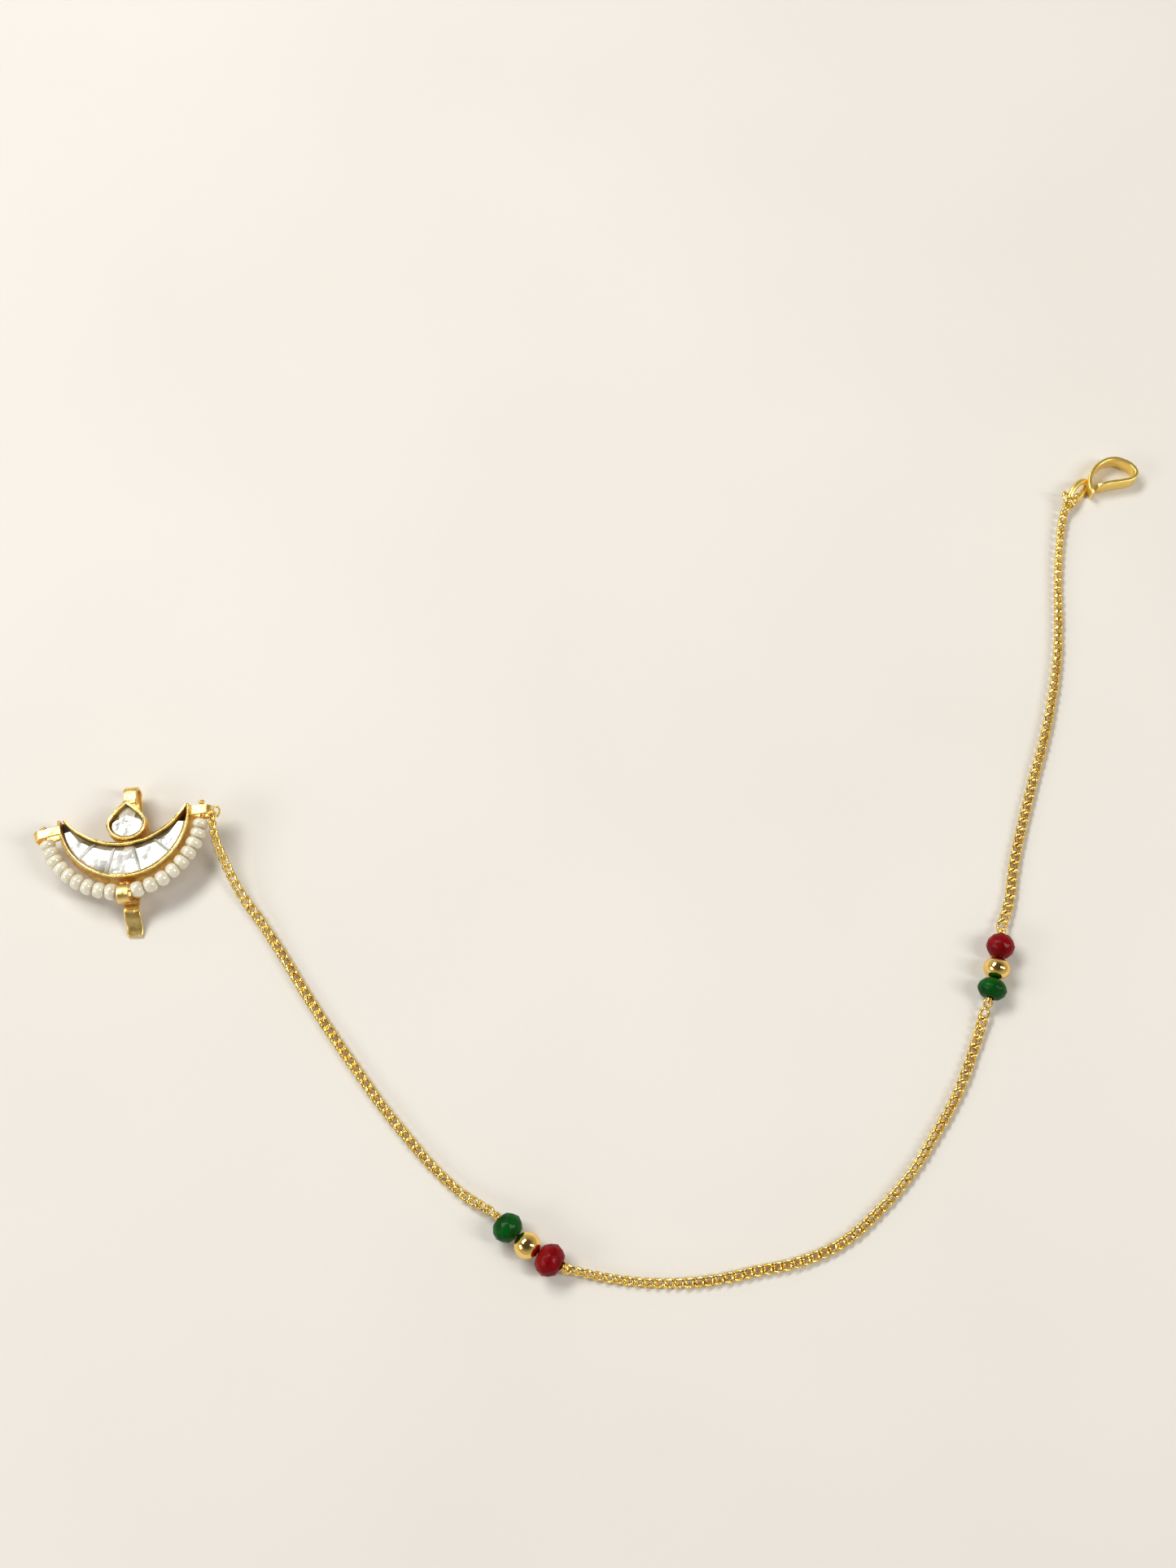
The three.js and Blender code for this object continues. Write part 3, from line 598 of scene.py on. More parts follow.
def dropOutline(inset, steps=20):
    # half an ellipse below the widest line, two curved sides up to the tip
    half, belly = drop["width"] / 2 - inset, drop["belly"] - inset
    tip = drop["tip"] - inset * drop["tipInset"]
    points = []
    for i in range(steps + 1):
        turn = math.pi + math.pi * i / steps
        points.append((half * math.cos(turn), belly * math.sin(turn)))
    knots = [(half, 0), (half, tip * 0.33), (half * 0.46, tip * 0.66), (0, tip)]
    side = geometry.interpolate_bezier(*[Vector(knot) for knot in knots], steps // 2 + 1)[1:]
    points += [(point.x, point.y) for point in side]
    points += [(-point.x, point.y) for point in reversed(side[:-1])]
    return [(drop["x"] + x, drop["y"] + y) for x, y in points]


def stackedRings(shape, layers):
    # bridges outlines of equal count, each (points, height)
    rings = []
    for points, height in layers:
        corners = [shape.verts.new((x, y, height)) for x, y in points]
        rings.append([shape.edges.new(pair) for pair in zip(corners, corners[1:] + corners[:1])])
    for below, above in zip(rings, rings[1:]):
        bmesh.ops.bridge_loops(shape, edges=below + above)
    return rings


cup = bmesh.new()
cupRings = stackedRings(cup, [(dropOutline(inset), height) for inset, height in drop["section"]])
bmesh.ops.holes_fill(cup, edges=cupRings[0], sides=0)
bmesh.ops.holes_fill(cup, edges=cupRings[-1], sides=0)
unevenly(cup, setting["unevenness"], 1.0, 6)
dropCup = finishPiece(cup, "drop_cup", crescentPlace, [settingGold, rimPolishAndPaintedHighlight], sharp=55)
# painted highlight, partly real polish: the cup's top band takes the brighter gold
brightenAbove(dropCup, setting["height"] - setting["rimHighlightBand"])

# Folded strips that hold the pearls' wire. A line is drawn as (outwards from the string's middle, upwards).

strips = {
    "left": {"bearing": 190.1, "width": 1.1, "seed": 2, "line": [
        (7.05, 2.38), (7.6, 2.44), (8.3, 2.5), (9.2, 2.46), (9.85, 2.38), (10.12, 2.05), (10.1, 1.5),
        (9.98, 1.0), (9.6, 0.72), (8.6, 0.68), (7.3, 0.7)]},
    "bottom": {"bearing": 269.8, "width": 1.46, "seed": 5, "line": [
        (8.62, 2.18), (9.0, 2.36), (9.5, 2.42), (9.95, 2.3), (10.22, 1.95), (10.3, 1.5), (10.2, 1.0),
        (9.85, 0.74), (8.8, 0.7), (7.4, 0.72)]},
    "right": {"bearing": 357, "width": 1.15, "seed": 8, "line": [
        (7.75, 1.9), (8.05, 2.28), (8.6, 2.44), (9.5, 2.46), (10.1, 2.34), (10.4, 2.0), (10.44, 1.5),
        (10.32, 1.0), (9.95, 0.72), (8.8, 0.68), (7.3, 0.7)]},
}

stripMetal = {
    "thickness": 0.26,
    "crumple": 0.055,         # how far the folded strips are dented
    "dentSize": 0.9,
    "cuts": 5,                # across any bent strip
    "softEdge": 0.28,         # share of a strip's thickness that its edges round off
}


def bentStrip(shape, line, width, across, thickness, seed, crumple):
    # a strip that follows a line, wide along one direction, dented and with soft edges
    across = Vector(across)
    lower = polyline(shape, [point - across * width / 2 for point in line])
    drawn = bmesh.ops.extrude_edge_only(shape, edges=lower[len(line):])["geom"]
    bmesh.ops.translate(shape, vec=across * width, verts=onlyVerts(drawn))
    wide = []
    for edge in shape.edges:
        way = (edge.verts[1].co - edge.verts[0].co).normalized()
        if abs(way.dot(across)) > 0.99:
            wide.append(edge)
    bmesh.ops.subdivide_edges(shape, edges=wide, cuts=stripMetal["cuts"], use_grid_fill=True)
    unevenly(shape, crumple, stripMetal["dentSize"], seed)
    shape.normal_update()
    for vertex in shape.verts:
        vertex.co += vertex.normal * thickness / 2
    bmesh.ops.solidify(shape, geom=shape.faces, thickness=thickness)
    bmesh.ops.recalc_face_normals(shape, faces=shape.faces)
    bevelEdges(shape, cornerEdges(shape), thickness * stripMetal["softEdge"], 2)


for side, strip in strips.items():
    stripShape = bmesh.new()
    stripLine = softLine([(out, 0, rise) for out, rise in strip["line"]], 5)
    bentStrip(
        stripShape, stripLine, strip["width"], (0, 1, 0), stripMetal["thickness"], strip["seed"],
        stripMetal["crumple"])
    stripTurn = Matrix.Rotation(math.radians(strip["bearing"]), 4, "Z")
    stripPlace = crescentPlace @ (Matrix.Translation((pearls["stringX"], 0, 0)) @ stripTurn)
    finishPiece(stripShape, side + "_strip", stripPlace, [stripGold], sharp=50)

# Spring clip, drawn as (along the strip's middle from the drop's tip, upwards)

clip = {
    "width": 1.6,
    "thickness": 0.34,
    "slant": -2.6,
    "x": 0.72,
    "tipY": 1.68,
    "line": [
        (-0.35, 1.72), (0.35, 1.8), (0.95, 1.76), (1.55, 1.42), (1.82, 0.45), (1.55, -0.48), (0.92, -0.83),
        (-2, -0.85), (-6, -0.85), (-10.2, -0.85), (-11.1, -0.84), (-11.6, -0.6), (-12.0, -0.3),
        (-12.4, -0.18), (-12.9, -0.2), (-13.3, -0.38), (-13.8, -0.76), (-14.3, -1.08), (-14.7, -1.25),
        (-15.1, -1.34), (-15.42, -1.4)],
    # the lip: where each change starts along the strip, and over what length it takes effect
    "widens": (-10.6, 1.4),
    "lipWidth": 1.86,
    "drifts": (-11.0, 3.2),
    "drift": 0.22,            # to the right
    "rounds": (-14.5, 1.0),
    "rounding": 0.4,
}


def lipShare(along, start, length):
    return min(max((start - along) / length, 0), 1)


clipShape = bmesh.new()
clipLine = softLine([(0, along, rise) for along, rise in clip["line"]], 5)
bentStrip(clipShape, clipLine, clip["width"], (1, 0, 0), clip["thickness"], 12, 0.03)
for vertex in clipShape.verts:   # the lip widens, drifts a little to the right and ends rounded
    along = vertex.co.y
    vertex.co.x *= 1 + lipShare(along, *clip["widens"]) * (clip["lipWidth"] / clip["width"] - 1)
    vertex.co.x *= math.sqrt(1 - clip["rounding"] * lipShare(along, *clip["rounds"]) ** 3)
    vertex.co.x += clip["drift"] * lipShare(along, *clip["drifts"]) ** 2
clipTurn = Matrix.Rotation(math.radians(clip["slant"]), 4, "Z")
clipPlace = crescentPlace @ (Matrix.Translation((clip["x"], clip["tipY"], 0)) @ clipTurn)
finishPiece(clipShape, "spring_clip", clipPlace, [stripGold], sharp=50)

# Solder: a low run between drop and crescent, two granules above the bottom strip, and a few patches

solderSpots = [
    # x, y, height, radius along x, y and z
    (-0.75, -3.18, 1.6, 0.34, 0.2, 0.26), (-0.3, -3.26, 1.74, 0.3, 0.2, 0.24),
    (0.15, -3.28, 1.8, 0.36, 0.2, 0.26), (0.62, -3.27, 1.76, 0.3, 0.19, 0.24),
    (1.05, -3.2, 1.66, 0.34, 0.2, 0.26), (1.45, -3.05, 1.5, 0.26, 0.18, 0.22),
    (0.3, -3.24, 1.15, 1.3, 0.3, 0.5), (-0.55, -8.08, 1.3, 0.34, 0.33, 0.32),
    (0.16, -8.13, 1.26, 0.32, 0.33, 0.32), (-0.2, -7.95, 0.95, 0.75, 0.4, 0.4),
    (0.45, 1.85, 1.45, 0.5, 0.22, 0.3), (-7.35, -1.55, 1.0, 0.35, 0.4, 0.5),
    (7.45, -0.5, 1.0, 0.35, 0.4, 0.5),
]

solder = bmesh.new()
for x, y, height, *radii in solderSpots:
    granule = bmesh.ops.create_uvsphere(solder, u_segments=16, v_segments=10, radius=1)["verts"]
    bmesh.ops.scale(solder, vec=radii, verts=granule)
    bmesh.ops.translate(solder, vec=(x, y, height), verts=granule)
unevenly(solder, 0.05, 0.4, 1)
finishPiece(solder, "solder_runs", crescentPlace, [solderGold], merge=0)

print("setting made")

# Stones: flat tops, sloped edges, each tilted a little on its foil

stones = {
    "cuts": [-79, -47.5, -17, 14.3, 46, 79],   # bearings between which the five stones lie
    "clear": 0.06,            # to the walls
    "gap": 0.02,              # half the gap between two stones
    "leastDepth": 0.05,       # between the outer and the inner corners
    "base": 1.2,
    "girdle": 0.45,
    "crown": 0.32,
    "bevel": 0.2,
    "innerBevel": 0.42,       # how much wider the sloped edge is along the inner wall
    "innerBand": 0.3,         # a top corner this much further in than the stone's middle is an inner one
    "tipBand": 0.2,           # beyond this the drop's top is drawn back from its tip
    "tipShare": 0.6,          # by this share of what lies beyond
    "edge": 0.02,
    "topDepth": 0.09,         # tilted tops reach down this far
    # painted shade: a slope facing the upper wall at least this closely takes the dark stone material
    "paintedShadeFacing": 0.35,     # least cosine of a slope's facing and the way to the upper wall
    "tilts": [(0.02, 0.03), (-0.03, 0.01), (0.05, 0.07), (0.03, 0.02), (-0.02, -0.02), (0.0, 0.02)],
}


def innerReach(bearing, inset):
    angle = math.radians(bearing)
    radius, rise = setting["innerRadius"] + inset, setting["innerRise"]
    return math.sqrt(radius ** 2 - (rise * math.sin(angle)) ** 2) - rise * math.cos(angle)


def stoneOutline(start, end):
    # corners along the outer wall, then back along the inner one
    outer = setting["outerRadius"] - setting["wall"] - stones["clear"]
    inset = setting["wall"] + stones["clear"]
    inner = innerReach((start + end) / 2, inset)
    outerCorners = [(outer, share) for share in (0, 0.25, 0.5, 0.75, 1)]
    innerCorners = [(inner, share) for share in (1, 0.5, 0)]
    corners = []
    for reach, share in outerCorners + innerCorners:
        margin = math.degrees(stones["gap"] / reach)
        bearing = start + margin + (end - start - 2 * margin) * share
        if reach == inner:
            reach = min(innerReach(bearing, inset), outer - stones["leastDepth"])
        angle = math.radians(bearing)
        corners.append((reach * math.sin(angle), -reach * math.cos(angle)))
    return corners


def makeStone(name, outline, tilt, innerBevel=0):
    # only the crescent's stones have an inner bevel; the drop's top is drawn back from the tip
    shape = bmesh.new()
    foot = shape.faces.new([shape.verts.new((x, y, stones["base"])) for x, y in outline])
    drawn = bmesh.ops.extrude_face_region(shape, geom=[foot], use_keep_orig=True)["geom"]
    top = [item for item in drawn if isinstance(item, bmesh.types.BMFace)][0]
    bmesh.ops.translate(shape, vec=(0, 0, stones["girdle"]), verts=top.verts)
    bmesh.ops.recalc_face_normals(shape, faces=shape.faces)
    bmesh.ops.inset_region(
        shape, faces=[top], thickness=stones["bevel"], depth=stones["crown"], use_even_offset=True)
    middle = top.calc_center_median()
    for vertex in top.verts:
        away = vertex.co - middle
        vertex.co.z += tilt[0] * away.x + tilt[1] * away.y
        if innerBevel and vertex.co.xy.length < middle.xy.length - stones["innerBand"]:
            vertex.co += Vector((vertex.co.x, vertex.co.y, 0)).normalized() * innerBevel
        elif not innerBevel and away.y > stones["tipBand"]:
            vertex.co.y -= stones["tipShare"] * (away.y - stones["tipBand"])
    bevelEdges(shape, shape.edges[:], stones["edge"], 1)
    stone = finishPiece(
        shape, "cut_" + name, crescentPlace, [stoneEdge, clearStone, paintedStoneShade], [name],
        sharp=8)
    brightenAbove(stone, stones["base"] + stones["girdle"] + stones["crown"] - stones["topDepth"])
    towards = -middle.xy.normalized() if innerBevel else Vector((0, 1))
    back = crescentPlace.inverted().to_3x3()
    for face in stone.data.polygons:   # painted shade: the sloped edge beside the upper wall takes the dark stone material, standing in for the wall's shadow
        facing = (back @ face.normal).normalized()
        if face.material_index == 0 and facing.xy.dot(towards) > stones["paintedShadeFacing"]:
            face.material_index = 2


for i, (start, end) in enumerate(zip(stones["cuts"], stones["cuts"][1:])):
    makeStone(f"crescent_stone_{i + 1}", stoneOutline(start, end), stones["tilts"][i], stones["innerBevel"])
makeStone("drop_stone", dropOutline(setting["wall"] + stones["clear"], 16), stones["tilts"][5])

print("stones made")

# Pearls' wire with its twisted ends, and the oval link in the right strip

wireEnds = {
    "radius": 0.14,
    "from": 185.8,            # bearings of the two twisted ends
    "to": 3.1,
    # the small coil over each end: its radius, its rise in a turn, its turns, and the angle it starts from
    "coil": (0.23, 0.2, 2.4, 0.6),
    "coilWire": 0.085,
    "coilLean": 68,           # degrees
    "tail": [(0.3, 0.2, 0.1), (0.42, 0.05, 0.25), (0.36, -0.2, 0.3), (0.2, -0.26, 0.12)],
    "tailWire": 0.08,
}

wireShape = bmesh.new()
span = wireEnds["to"] + 360 - wireEnds["from"]
wirePoints = [onString(wireEnds["from"] + span * i / 16) for i in range(17)]
addWire(wireShape, wirePoints, wireEnds["radius"], 4)
for bearing, way in ((wireEnds["from"], -1), (wireEnds["to"], 1)):
    end = Matrix.Translation(onString(bearing)) @ Matrix.Rotation(math.radians(bearing + 90 * way), 4, "Z")
    coilLean = Matrix.Rotation(math.radians(wireEnds["coilLean"] * way), 4, "Z")
    coilPlace = end @ Matrix.Translation((0.1, -0.35 * way, 0.05)) @ coilLean
    addWire(wireShape, moved(coilPoints(*wireEnds["coil"]), coilPlace), wireEnds["coilWire"], 3)
    addWire(wireShape, moved(wireEnds["tail"], end), wireEnds["tailWire"], 4)
finishPiece(wireShape, "string_wire", crescentPlace, [goldWire], ["pearl_wire"], sharp=60)

ovalLink = {
    "halfLength": 0.98,
    "halfWidth": 0.5,
    "wire": 0.15,
    "bearing": 357,
    "reach": 10.7,            # from the string's middle
    "sag": 0.12,
    "tilt": 30,
}


def ovalPoints(halfLength, halfWidth, count=16):
    turns = [2 * math.pi * i / count for i in range(count)]
    return [(halfLength * math.cos(turn), halfWidth * math.sin(turn), 0) for turn in turns]


tiltCosine, tiltSine = math.cos(math.radians(ovalLink["tilt"])), math.sin(math.radians(ovalLink["tilt"]))
linkAxes = Matrix(((0, 1, 0, 0), (-tiltCosine, 0, tiltSine, 0), (tiltSine, 0, tiltCosine, 0), (0, 0, 0, 1)))
linkPlace = (
    Matrix.Translation((pearls["stringX"], 0, 0))
    @ Matrix.Rotation(math.radians(ovalLink["bearing"]), 4, "Z")
    @ Matrix.Translation((ovalLink["reach"], -ovalLink["sag"], pearls["stringHeight"])) @ linkAxes)
linkShape = bmesh.new()
linkPoints = moved(ovalPoints(ovalLink["halfLength"], ovalLink["halfWidth"]), linkPlace)
addWire(linkShape, linkPoints, ovalLink["wire"], 4, True)
finishPiece(linkShape, "strip_link", crescentPlace, [polishedGold], ["tab_link"], sharp=60)

# Two groups of beads on their wires

beadGroups = {
    "bend": {1: 20, 2: 45},
    "middle": {1: (-8.55, -45.73, 1.9), 2: (44.22, -14.93, 1.725)},
    "heading": {1: -37, 2: 75.5},
    "roll": {1: 9, 2: 18},
    "beadGap": 0.12,
    "hole": 0.42,
    "wire": 0.17,
    "eyeTilt": 38,
    "eyeLonger": 0.1,         # half of what an eye is longer than wide
    # each end's eye, and the radius, wire and turns of the knot beside the bead
    "ends": {
        1: [(0.32, 0.22, 0.08, 1.5), (0.5, 0.42, 0.15, 2.2)],
        2: [(0.42, 0.34, 0.12, 2.2), (0.42, 0.34, 0.12, 2.2)],
    },
    "knotPitch": 2.05,        # rise in a turn, as a multiple of the knot wire's radius
    "knotStart": 0.2,         # how far back from the eye the knot starts
    "facets": 10,
    # (outwards, along) as shares of half the diameter and half the length
    "glassRings": [
        (0.42, -1.0), (0.62, -0.92), (0.885, -0.5), (1, 0), (0.885, 0.5), (0.62, 0.92), (0.42, 1.0)],
    # name, material, slot, diameter, length
    "beads": {
        1: [
            ("green_bead_1", greenGlass, "green_glass", 3.5, 2.65),
            ("gold_bead_1", ballGold, "polished_gold", 3.0, 2.8),
            ("red_bead_1", redGlass, "red_glass", 3.8, 2.75),
        ],
        2: [
            ("green_bead_2", greenGlass, "green_glass", 3.45, 2.2),
            ("gold_bead_2", ballGold, "polished_gold", 3.05, 2.5),
            ("red_bead_2", redGlass, "red_glass", 3.3, 2.6),
        ],
    },
}


def onPin(group, distance):
    # the place on a group's bent wire, at a distance from the middle bead
    x, y, height = beadGroups["middle"][group]
    bend = beadGroups["bend"][group]
    start = math.radians(beadGroups["heading"][group])
    end = start + distance / bend
    x += bend * (math.sin(end) - math.sin(start))
    y -= bend * (math.cos(end) - math.cos(start))
    return Matrix.Translation((x, y, height)) @ Matrix.Rotation(end, 4, "Z")


def turnedBead(rings, diameter, length, sides):
    # a drilled bead turned about the X axis
    hole = beadGroups["hole"]
    profile = [(-length / 2, hole)]
    profile += [(along * length / 2, max(out * diameter / 2, hole * 1.15)) for out, along in rings]
    profile.append((length / 2, hole))
    shape = bmesh.new()
    ends = polyline(shape, [(along, out, 0) for along, out in profile])
    shape.edges.new((ends[0], ends[len(profile) - 1]))
    spinRound(shape, (1, 0, 0), sides)
    bmesh.ops.recalc_face_normals(shape, faces=shape.faces)
    return shape


def makeGlassBead(name, material, diameter, length, place, roll):
    sides = beadGroups["facets"]
    shape = turnedBead(beadGroups["glassRings"], diameter, length, sides)
    for vertex in shape.verts:   # the ring on either side of the middle is turned by half a facet
        if 0.3 < abs(vertex.co.x) / (length / 2) < 0.7:
            vertex.co = Matrix.Rotation(math.pi / sides, 4, "X") @ vertex.co
    bmesh.ops.triangulate(shape, faces=shape.faces, quad_method="SHORT_EDGE")
    bmesh.ops.join_triangles(
        shape, faces=shape.faces, angle_face_threshold=math.radians(6), angle_shape_threshold=3.14)
    bevelEdges(shape, shape.edges[:], 0.05, 2)
    lie = place @ Matrix.Rotation(math.radians(roll), 4, "X")
    finishPiece(shape, "cut_" + name, lie, [material], [name], sharp=30)


def makeGoldBead(name, material, diameter, length, place):
    turns = [math.pi * (i + 1.2) / 14.4 for i in range(13)]   # from mouth to mouth of its hole
    rings = [(math.sin(turn) ** 0.85, -math.cos(turn)) for turn in turns]
    shape = turnedBead(rings, diameter, length, 40)
    finishPiece(shape, "round_" + name, place, [material], [name])


def makePin(group, start, end):
    # the wire through the beads, an eye at each end and the wire's own end wound round its neck
    shape = bmesh.new()
    steps = 8
    points = [onPin(group, start + (end - start) * i / steps).to_translation() for i in range(steps + 1)]
    addWire(shape, points, beadGroups["wire"], 3)
    tilt = Matrix.Rotation(math.radians(beadGroups["eyeTilt"]), 4, "Y")
    ways = ((start, math.pi), (end, 0))
    for (distance, back), (eye, knot, knotWire, turns) in zip(ways, beadGroups["ends"][group]):
        tip = onPin(group, distance) @ Matrix.Rotation(back, 4, "Z") @ tilt
        halfLength = eye + beadGroups["eyeLonger"]
        eyePoints = moved(ovalPoints(halfLength, eye), tip @ Matrix.Translation((halfLength, 0, 0)))
        addWire(shape, eyePoints, min(beadGroups["wire"], eye * 0.45), 3, True)
        knotPoints = coilPoints(knot, knotWire * beadGroups["knotPitch"], turns, 1.0)
        knotPlace = tip @ Matrix.Translation((-beadGroups["knotStart"], 0, 0))
        addWire(shape, moved(knotPoints, knotPlace), knotWire, 3)
    finishPiece(
        shape, f"wound_pin_{group}", layoutPlace, [goldWire], [f"bead_pin_{group}"], sharp=60)


for group, beads in beadGroups["beads"].items():
    lengths = [bead[4] for bead in beads]
    gap = beadGroups["beadGap"]
    centres = [-(lengths[0] + lengths[1]) / 2 - gap, 0, (lengths[1] + lengths[2]) / 2 + gap]
    for (name, material, slotName, diameter, length), centre in zip(beads, centres):
        place = layoutPlace @ onPin(group, centre)
        if slotName == "polished_gold":
            makeGoldBead(name, material, diameter, length, place)
        else:
            makeGlassBead(name, material, diameter, length, place, beadGroups["roll"][group])
    makePin(group, centres[0] - lengths[0] / 2 - gap, centres[2] + lengths[2] / 2 + gap)

print("beads made")

# Chain of curb links

chain = {
    "pitch": 1.07,
    "halfLength": 0.75,       # to the middle of the wire
    "halfWidth": 0.49,
    "wire": 0.205,
    "bluntness": 2.2,         # how soon a link's long sides reach their full length
    "twist": 44,              # degrees that each end of a link is turned out of its plane
    "sway": 7,                # degrees that a link rolls by chance, at most
    "steps": 12,
    "sides": 5,
    "lie": 0.38,              # height of a link's middle when it lies flat
    "stand": 0.3,             # what an upright one adds to that
    "clear": 0.02,            # what every link keeps above the table
    # layout x, y, lift above the table, roll in degrees
    "routes": {
        "upper_chain": [
            (-45.2, 2.75, 3.6, 58), (-45.05, 1.2, 3.25, 58), (-44.6, -0.5, 2.5, 54), (-43.6, -2.7, 1.5, 48),
            (-42.05, -5.6, 0.6, 38), (-39.0, -9.75, 0.1, 25), (-36.3, -13.8, 0, -20), (-33.7, -17.9, 0, 0),
            (-28.2, -25.8, 0, 15), (-22.5, -33.2, 0, 30), (-16.3, -39.6, 0.1, 45), (-12.1, -42.35, 0.9, 50)],
        "middle_chain": [
            (-4.2, -48.2, 0.9, 60), (-2.2, -48.6, 0.25, 65), (1.1, -49.2, 0, 60), (6.2, -49.6, 0, 45),
            (11.3, -49.3, 0, 25), (16.3, -48.3, 0, 5), (21.3, -47.2, 0, 0), (25.9, -45.1, 0, 15),
            (29.8, -41.8, 0, 30), (33.4, -37.9, 0, 45), (36.4, -33.5, 0, 30), (39.2, -28.8, 0, 15),
            (41.35, -23.7, 0, 0), (42.8, -19.5, 0.5, 0)],
        "end_chain": [
            (45.2, -10.0, 0.5, 0), (46.35, -7.0, 0.1, 0), (47.4, -1.9, 0, 0), (49.8, 6.5, 0, 10),
            (52.5, 15.1, 0, 25), (54.4, 23.9, 0, 25), (54.9, 28.5, 0, 35), (55.2, 33.2, 0, 45),
            (55.7, 38.0, 0.1, 50), (56.6, 42.8, 0.3, 50), (57.3, 44.7, 0.75, 60)],
    },
    # links crowded round the hook's eye: layout x, y, lift, heading and roll
    "crowd": {"end_chain": [
        (57.05, 44.95, 1.1, 110, 20), (57.75, 44.45, 0.35, 40, 60), (58.15, 45.0, 0.5, 60, 50)]},
}


def linkPlaces(route):
    # evenly spaced places along a route, one for each link, with heading and roll
    lifted = []
    for x, y, lift, roll in route:
        height = lift + chain["lie"] + chain["stand"] * abs(math.sin(math.radians(roll)))
        lifted.append((x, y, height))
    line = softLine(lifted, 16)
    lengths = [0.0]
    for a, b in zip(line, line[1:]):
        lengths.append(lengths[-1] + (b - a).length)
    count = round(lengths[-1] / chain["pitch"])
    places = []
    for i in range(count):
        wanted = lengths[-1] * (i + 0.5) / count
        k = max(j for j in range(len(line) - 1) if lengths[j] <= wanted)
        share = (wanted - lengths[k]) / (lengths[k + 1] - lengths[k])
        along = (k + share) / (len(line) - 1) * (len(route) - 1)
        knot = min(int(along), len(route) - 2)
        roll = route[knot][3] + (route[knot + 1][3] - route[knot][3]) * (along - knot)
        places.append((line[k].lerp(line[k + 1], share), (line[k + 1] - line[k]).normalized(), roll))
    return places


def crowdPlaces(name):
    places = []
    for x, y, lift, heading, roll in chain["crowd"].get(name, ()):
        way = Matrix.Rotation(math.radians(heading), 3, "Z") @ Vector((1, 0, 0))
        places.append((Vector((x, y, lift + chain["lie"])), way, roll))
    return places


def curbLink():
    # one link along X: a ring pulled long, its ends twisted so that the links lie flat in each other
    shape = bmesh.new()
    bmesh.ops.create_circle(shape, segments=chain["sides"], radius=chain["wire"])
    for vertex in shape.verts:
        vertex.co = Vector((chain["halfWidth"] + vertex.co.x, 0, vertex.co.y))
    spinRound(shape, (0, 0, 1), chain["steps"])
    for vertex in shape.verts:
        around = math.atan2(vertex.co.y, vertex.co.x)
        pull = math.copysign(chain["halfLength"] - chain["halfWidth"], vertex.co.x)
        vertex.co.x += pull * min(1, chain["bluntness"] * abs(math.cos(around)))
        turn = math.radians(chain["twist"]) * vertex.co.x / chain["halfLength"]
        vertex.co = Matrix.Rotation(turn, 3, "X") @ vertex.co
    mesh = bpy.data.meshes.new("link")
    shape.to_mesh(mesh)
    shape.free()
    return mesh


def makeChain(name, route, link):
    pick = random.Random(len(name))
    shape = bmesh.new()
    for position, heading, roll in linkPlaces(route) + crowdPlaces(name):
        before = len(shape.verts)
        shape.from_mesh(link)
        shape.verts.ensure_lookup_table()
        across = Vector((0, 0, 1)).cross(heading).normalized()
        turned = Matrix((heading, across, heading.cross(across))).transposed().to_4x4()
        sway = math.radians(roll + pick.uniform(-chain["sway"], chain["sway"]))
        place = Matrix.Translation(position) @ turned @ Matrix.Rotation(sway, 4, "X")
        bmesh.ops.transform(shape, matrix=place, verts=shape.verts[before:])
        sunk = chain["clear"] - min(vertex.co.z for vertex in shape.verts[before:])
        if sunk > 0:
            bmesh.ops.translate(shape, vec=(0, 0, sunk), verts=shape.verts[before:])
    finishPiece(
        shape, name + "_links", layoutPlace, [polishedGold], [name], sharp=80, merge=0)


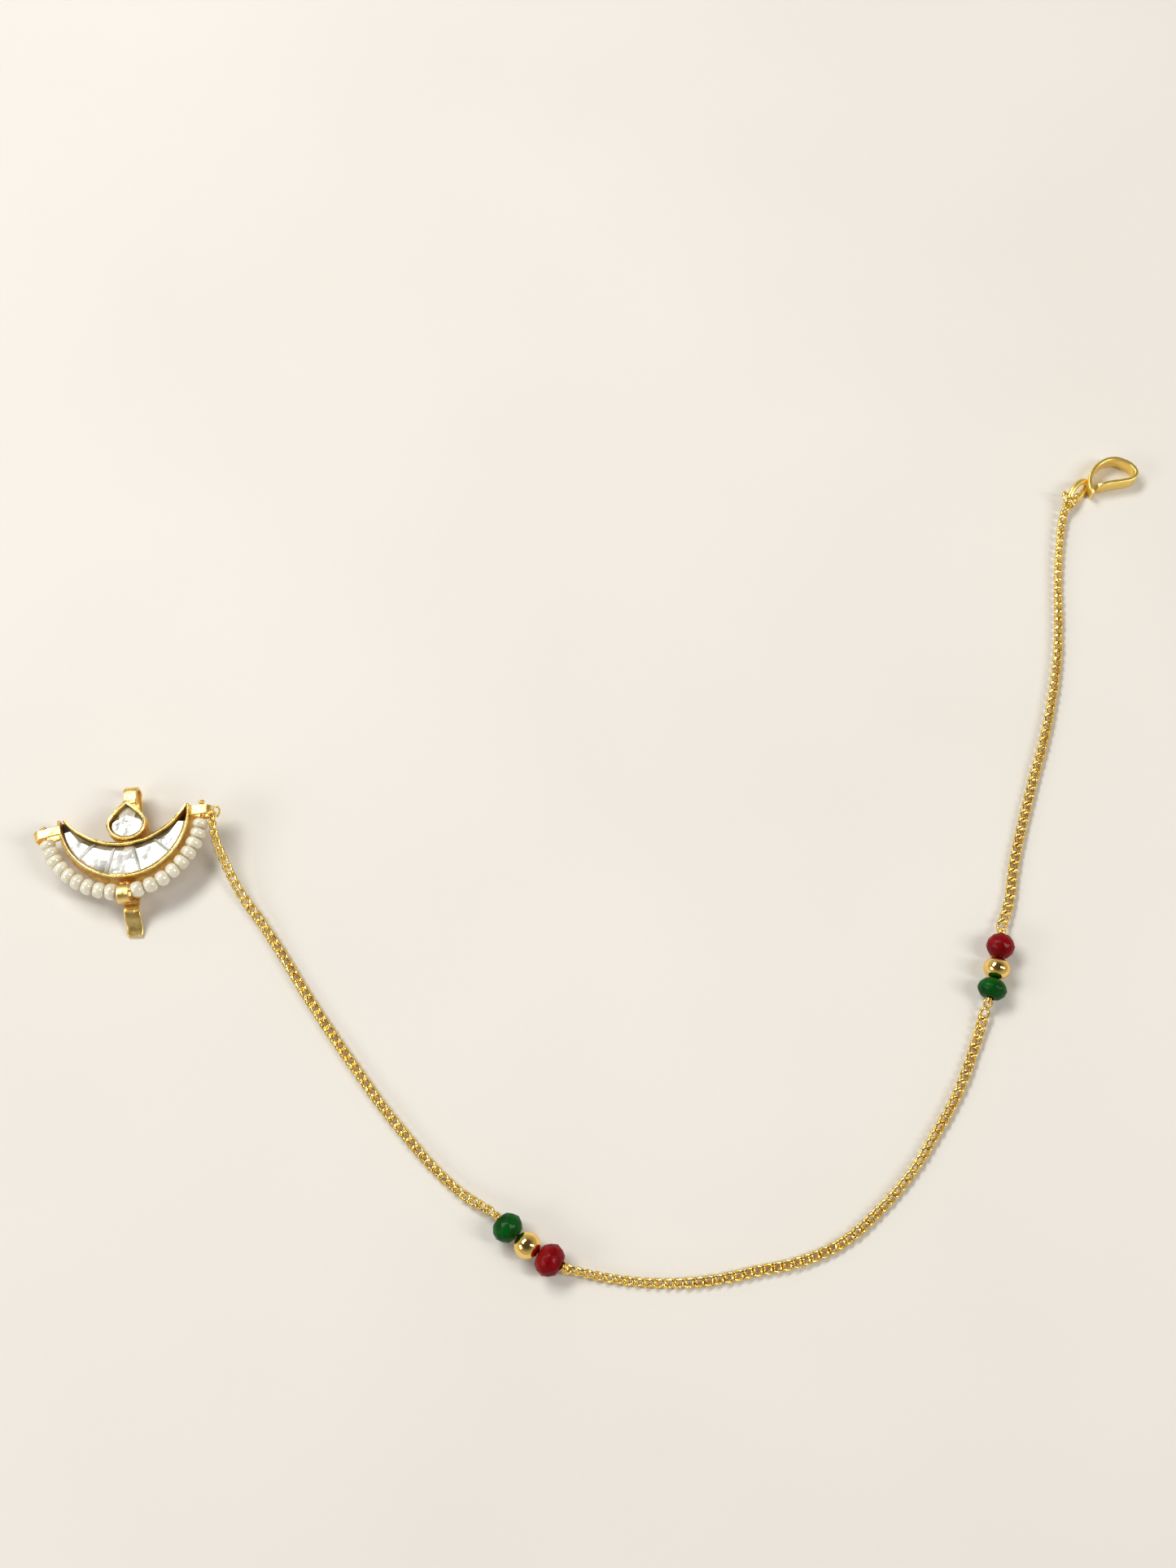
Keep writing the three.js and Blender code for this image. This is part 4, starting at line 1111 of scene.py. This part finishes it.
linkMesh = curbLink()
for name, route in chain["routes"].items():
    makeChain(name, route, linkMesh)
bpy.data.meshes.remove(linkMesh)

print("chains made")

# Hair hook: a strip on edge bent to a pear, with an oval eye

hook = {
    "middle": (58.55, 46.05),     # of the eye, in the layout
    # the strip's course seen from above, from the eye's middle
    "line": [
        (1.8, -0.6), (1.45, 0.25), (1.45, 1.25), (1.9, 2.35), (2.95, 3.5), (4.4, 4.1), (5.9, 3.8),
        (6.95, 3.0), (7.25, 2.1), (6.75, 1.4), (5.55, 1.05), (4.05, 0.8), (2.35, 0.4)],
    "height": 2.0,
    "spare": 0.04,            # what the strip's dents may add to its width
    "thickness": 0.5,
    "taper": 1.1,             # both ends narrow and round over this length
    "endHeights": (0.5, 0.6),     # shares of the height left at the two ends
    "eyeHalfLength": 1.6,
    "eyeHalfWidth": 0.8,
    "eyeWire": 0.38,
    "eyeTilt": 50,
    "eyeTurn": 50,
}

hookShape = bmesh.new()
hookX, hookY = hook["middle"]
hookLine = softLine([(hookX + x, hookY + y, hook["height"] / 2) for x, y in hook["line"]], 8)
bentStrip(hookShape, hookLine, hook["height"] - hook["spare"], (0, 0, 1), hook["thickness"], 4, 0.02)
for end, least in zip((hookLine[0], hookLine[-1]), hook["endHeights"]):
    for vertex in hookShape.verts:
        share = min((vertex.co - end).xy.length / hook["taper"], 1)
        rounded = least + (1 - least) * math.sqrt(1 - (1 - share) ** 2)
        vertex.co.z = end.z + (vertex.co.z - end.z) * rounded
eyeLift = hook["eyeWire"] + hook["eyeHalfWidth"] * math.sin(math.radians(hook["eyeTilt"]))
eyePlace = (
    Matrix.Translation((hookX, hookY, eyeLift)) @ Matrix.Rotation(math.radians(hook["eyeTurn"]), 4, "Z")
    @ Matrix.Rotation(math.radians(hook["eyeTilt"]), 4, "X"))
eyePoints = moved(ovalPoints(hook["eyeHalfLength"], hook["eyeHalfWidth"]), eyePlace)
addWire(hookShape, eyePoints, hook["eyeWire"], 4, True, 3)
finishPiece(
    hookShape, "pear_hook", layoutPlace, [hookGold], ["hair_hook"], sharp=60, merge=0)

print("scene made")
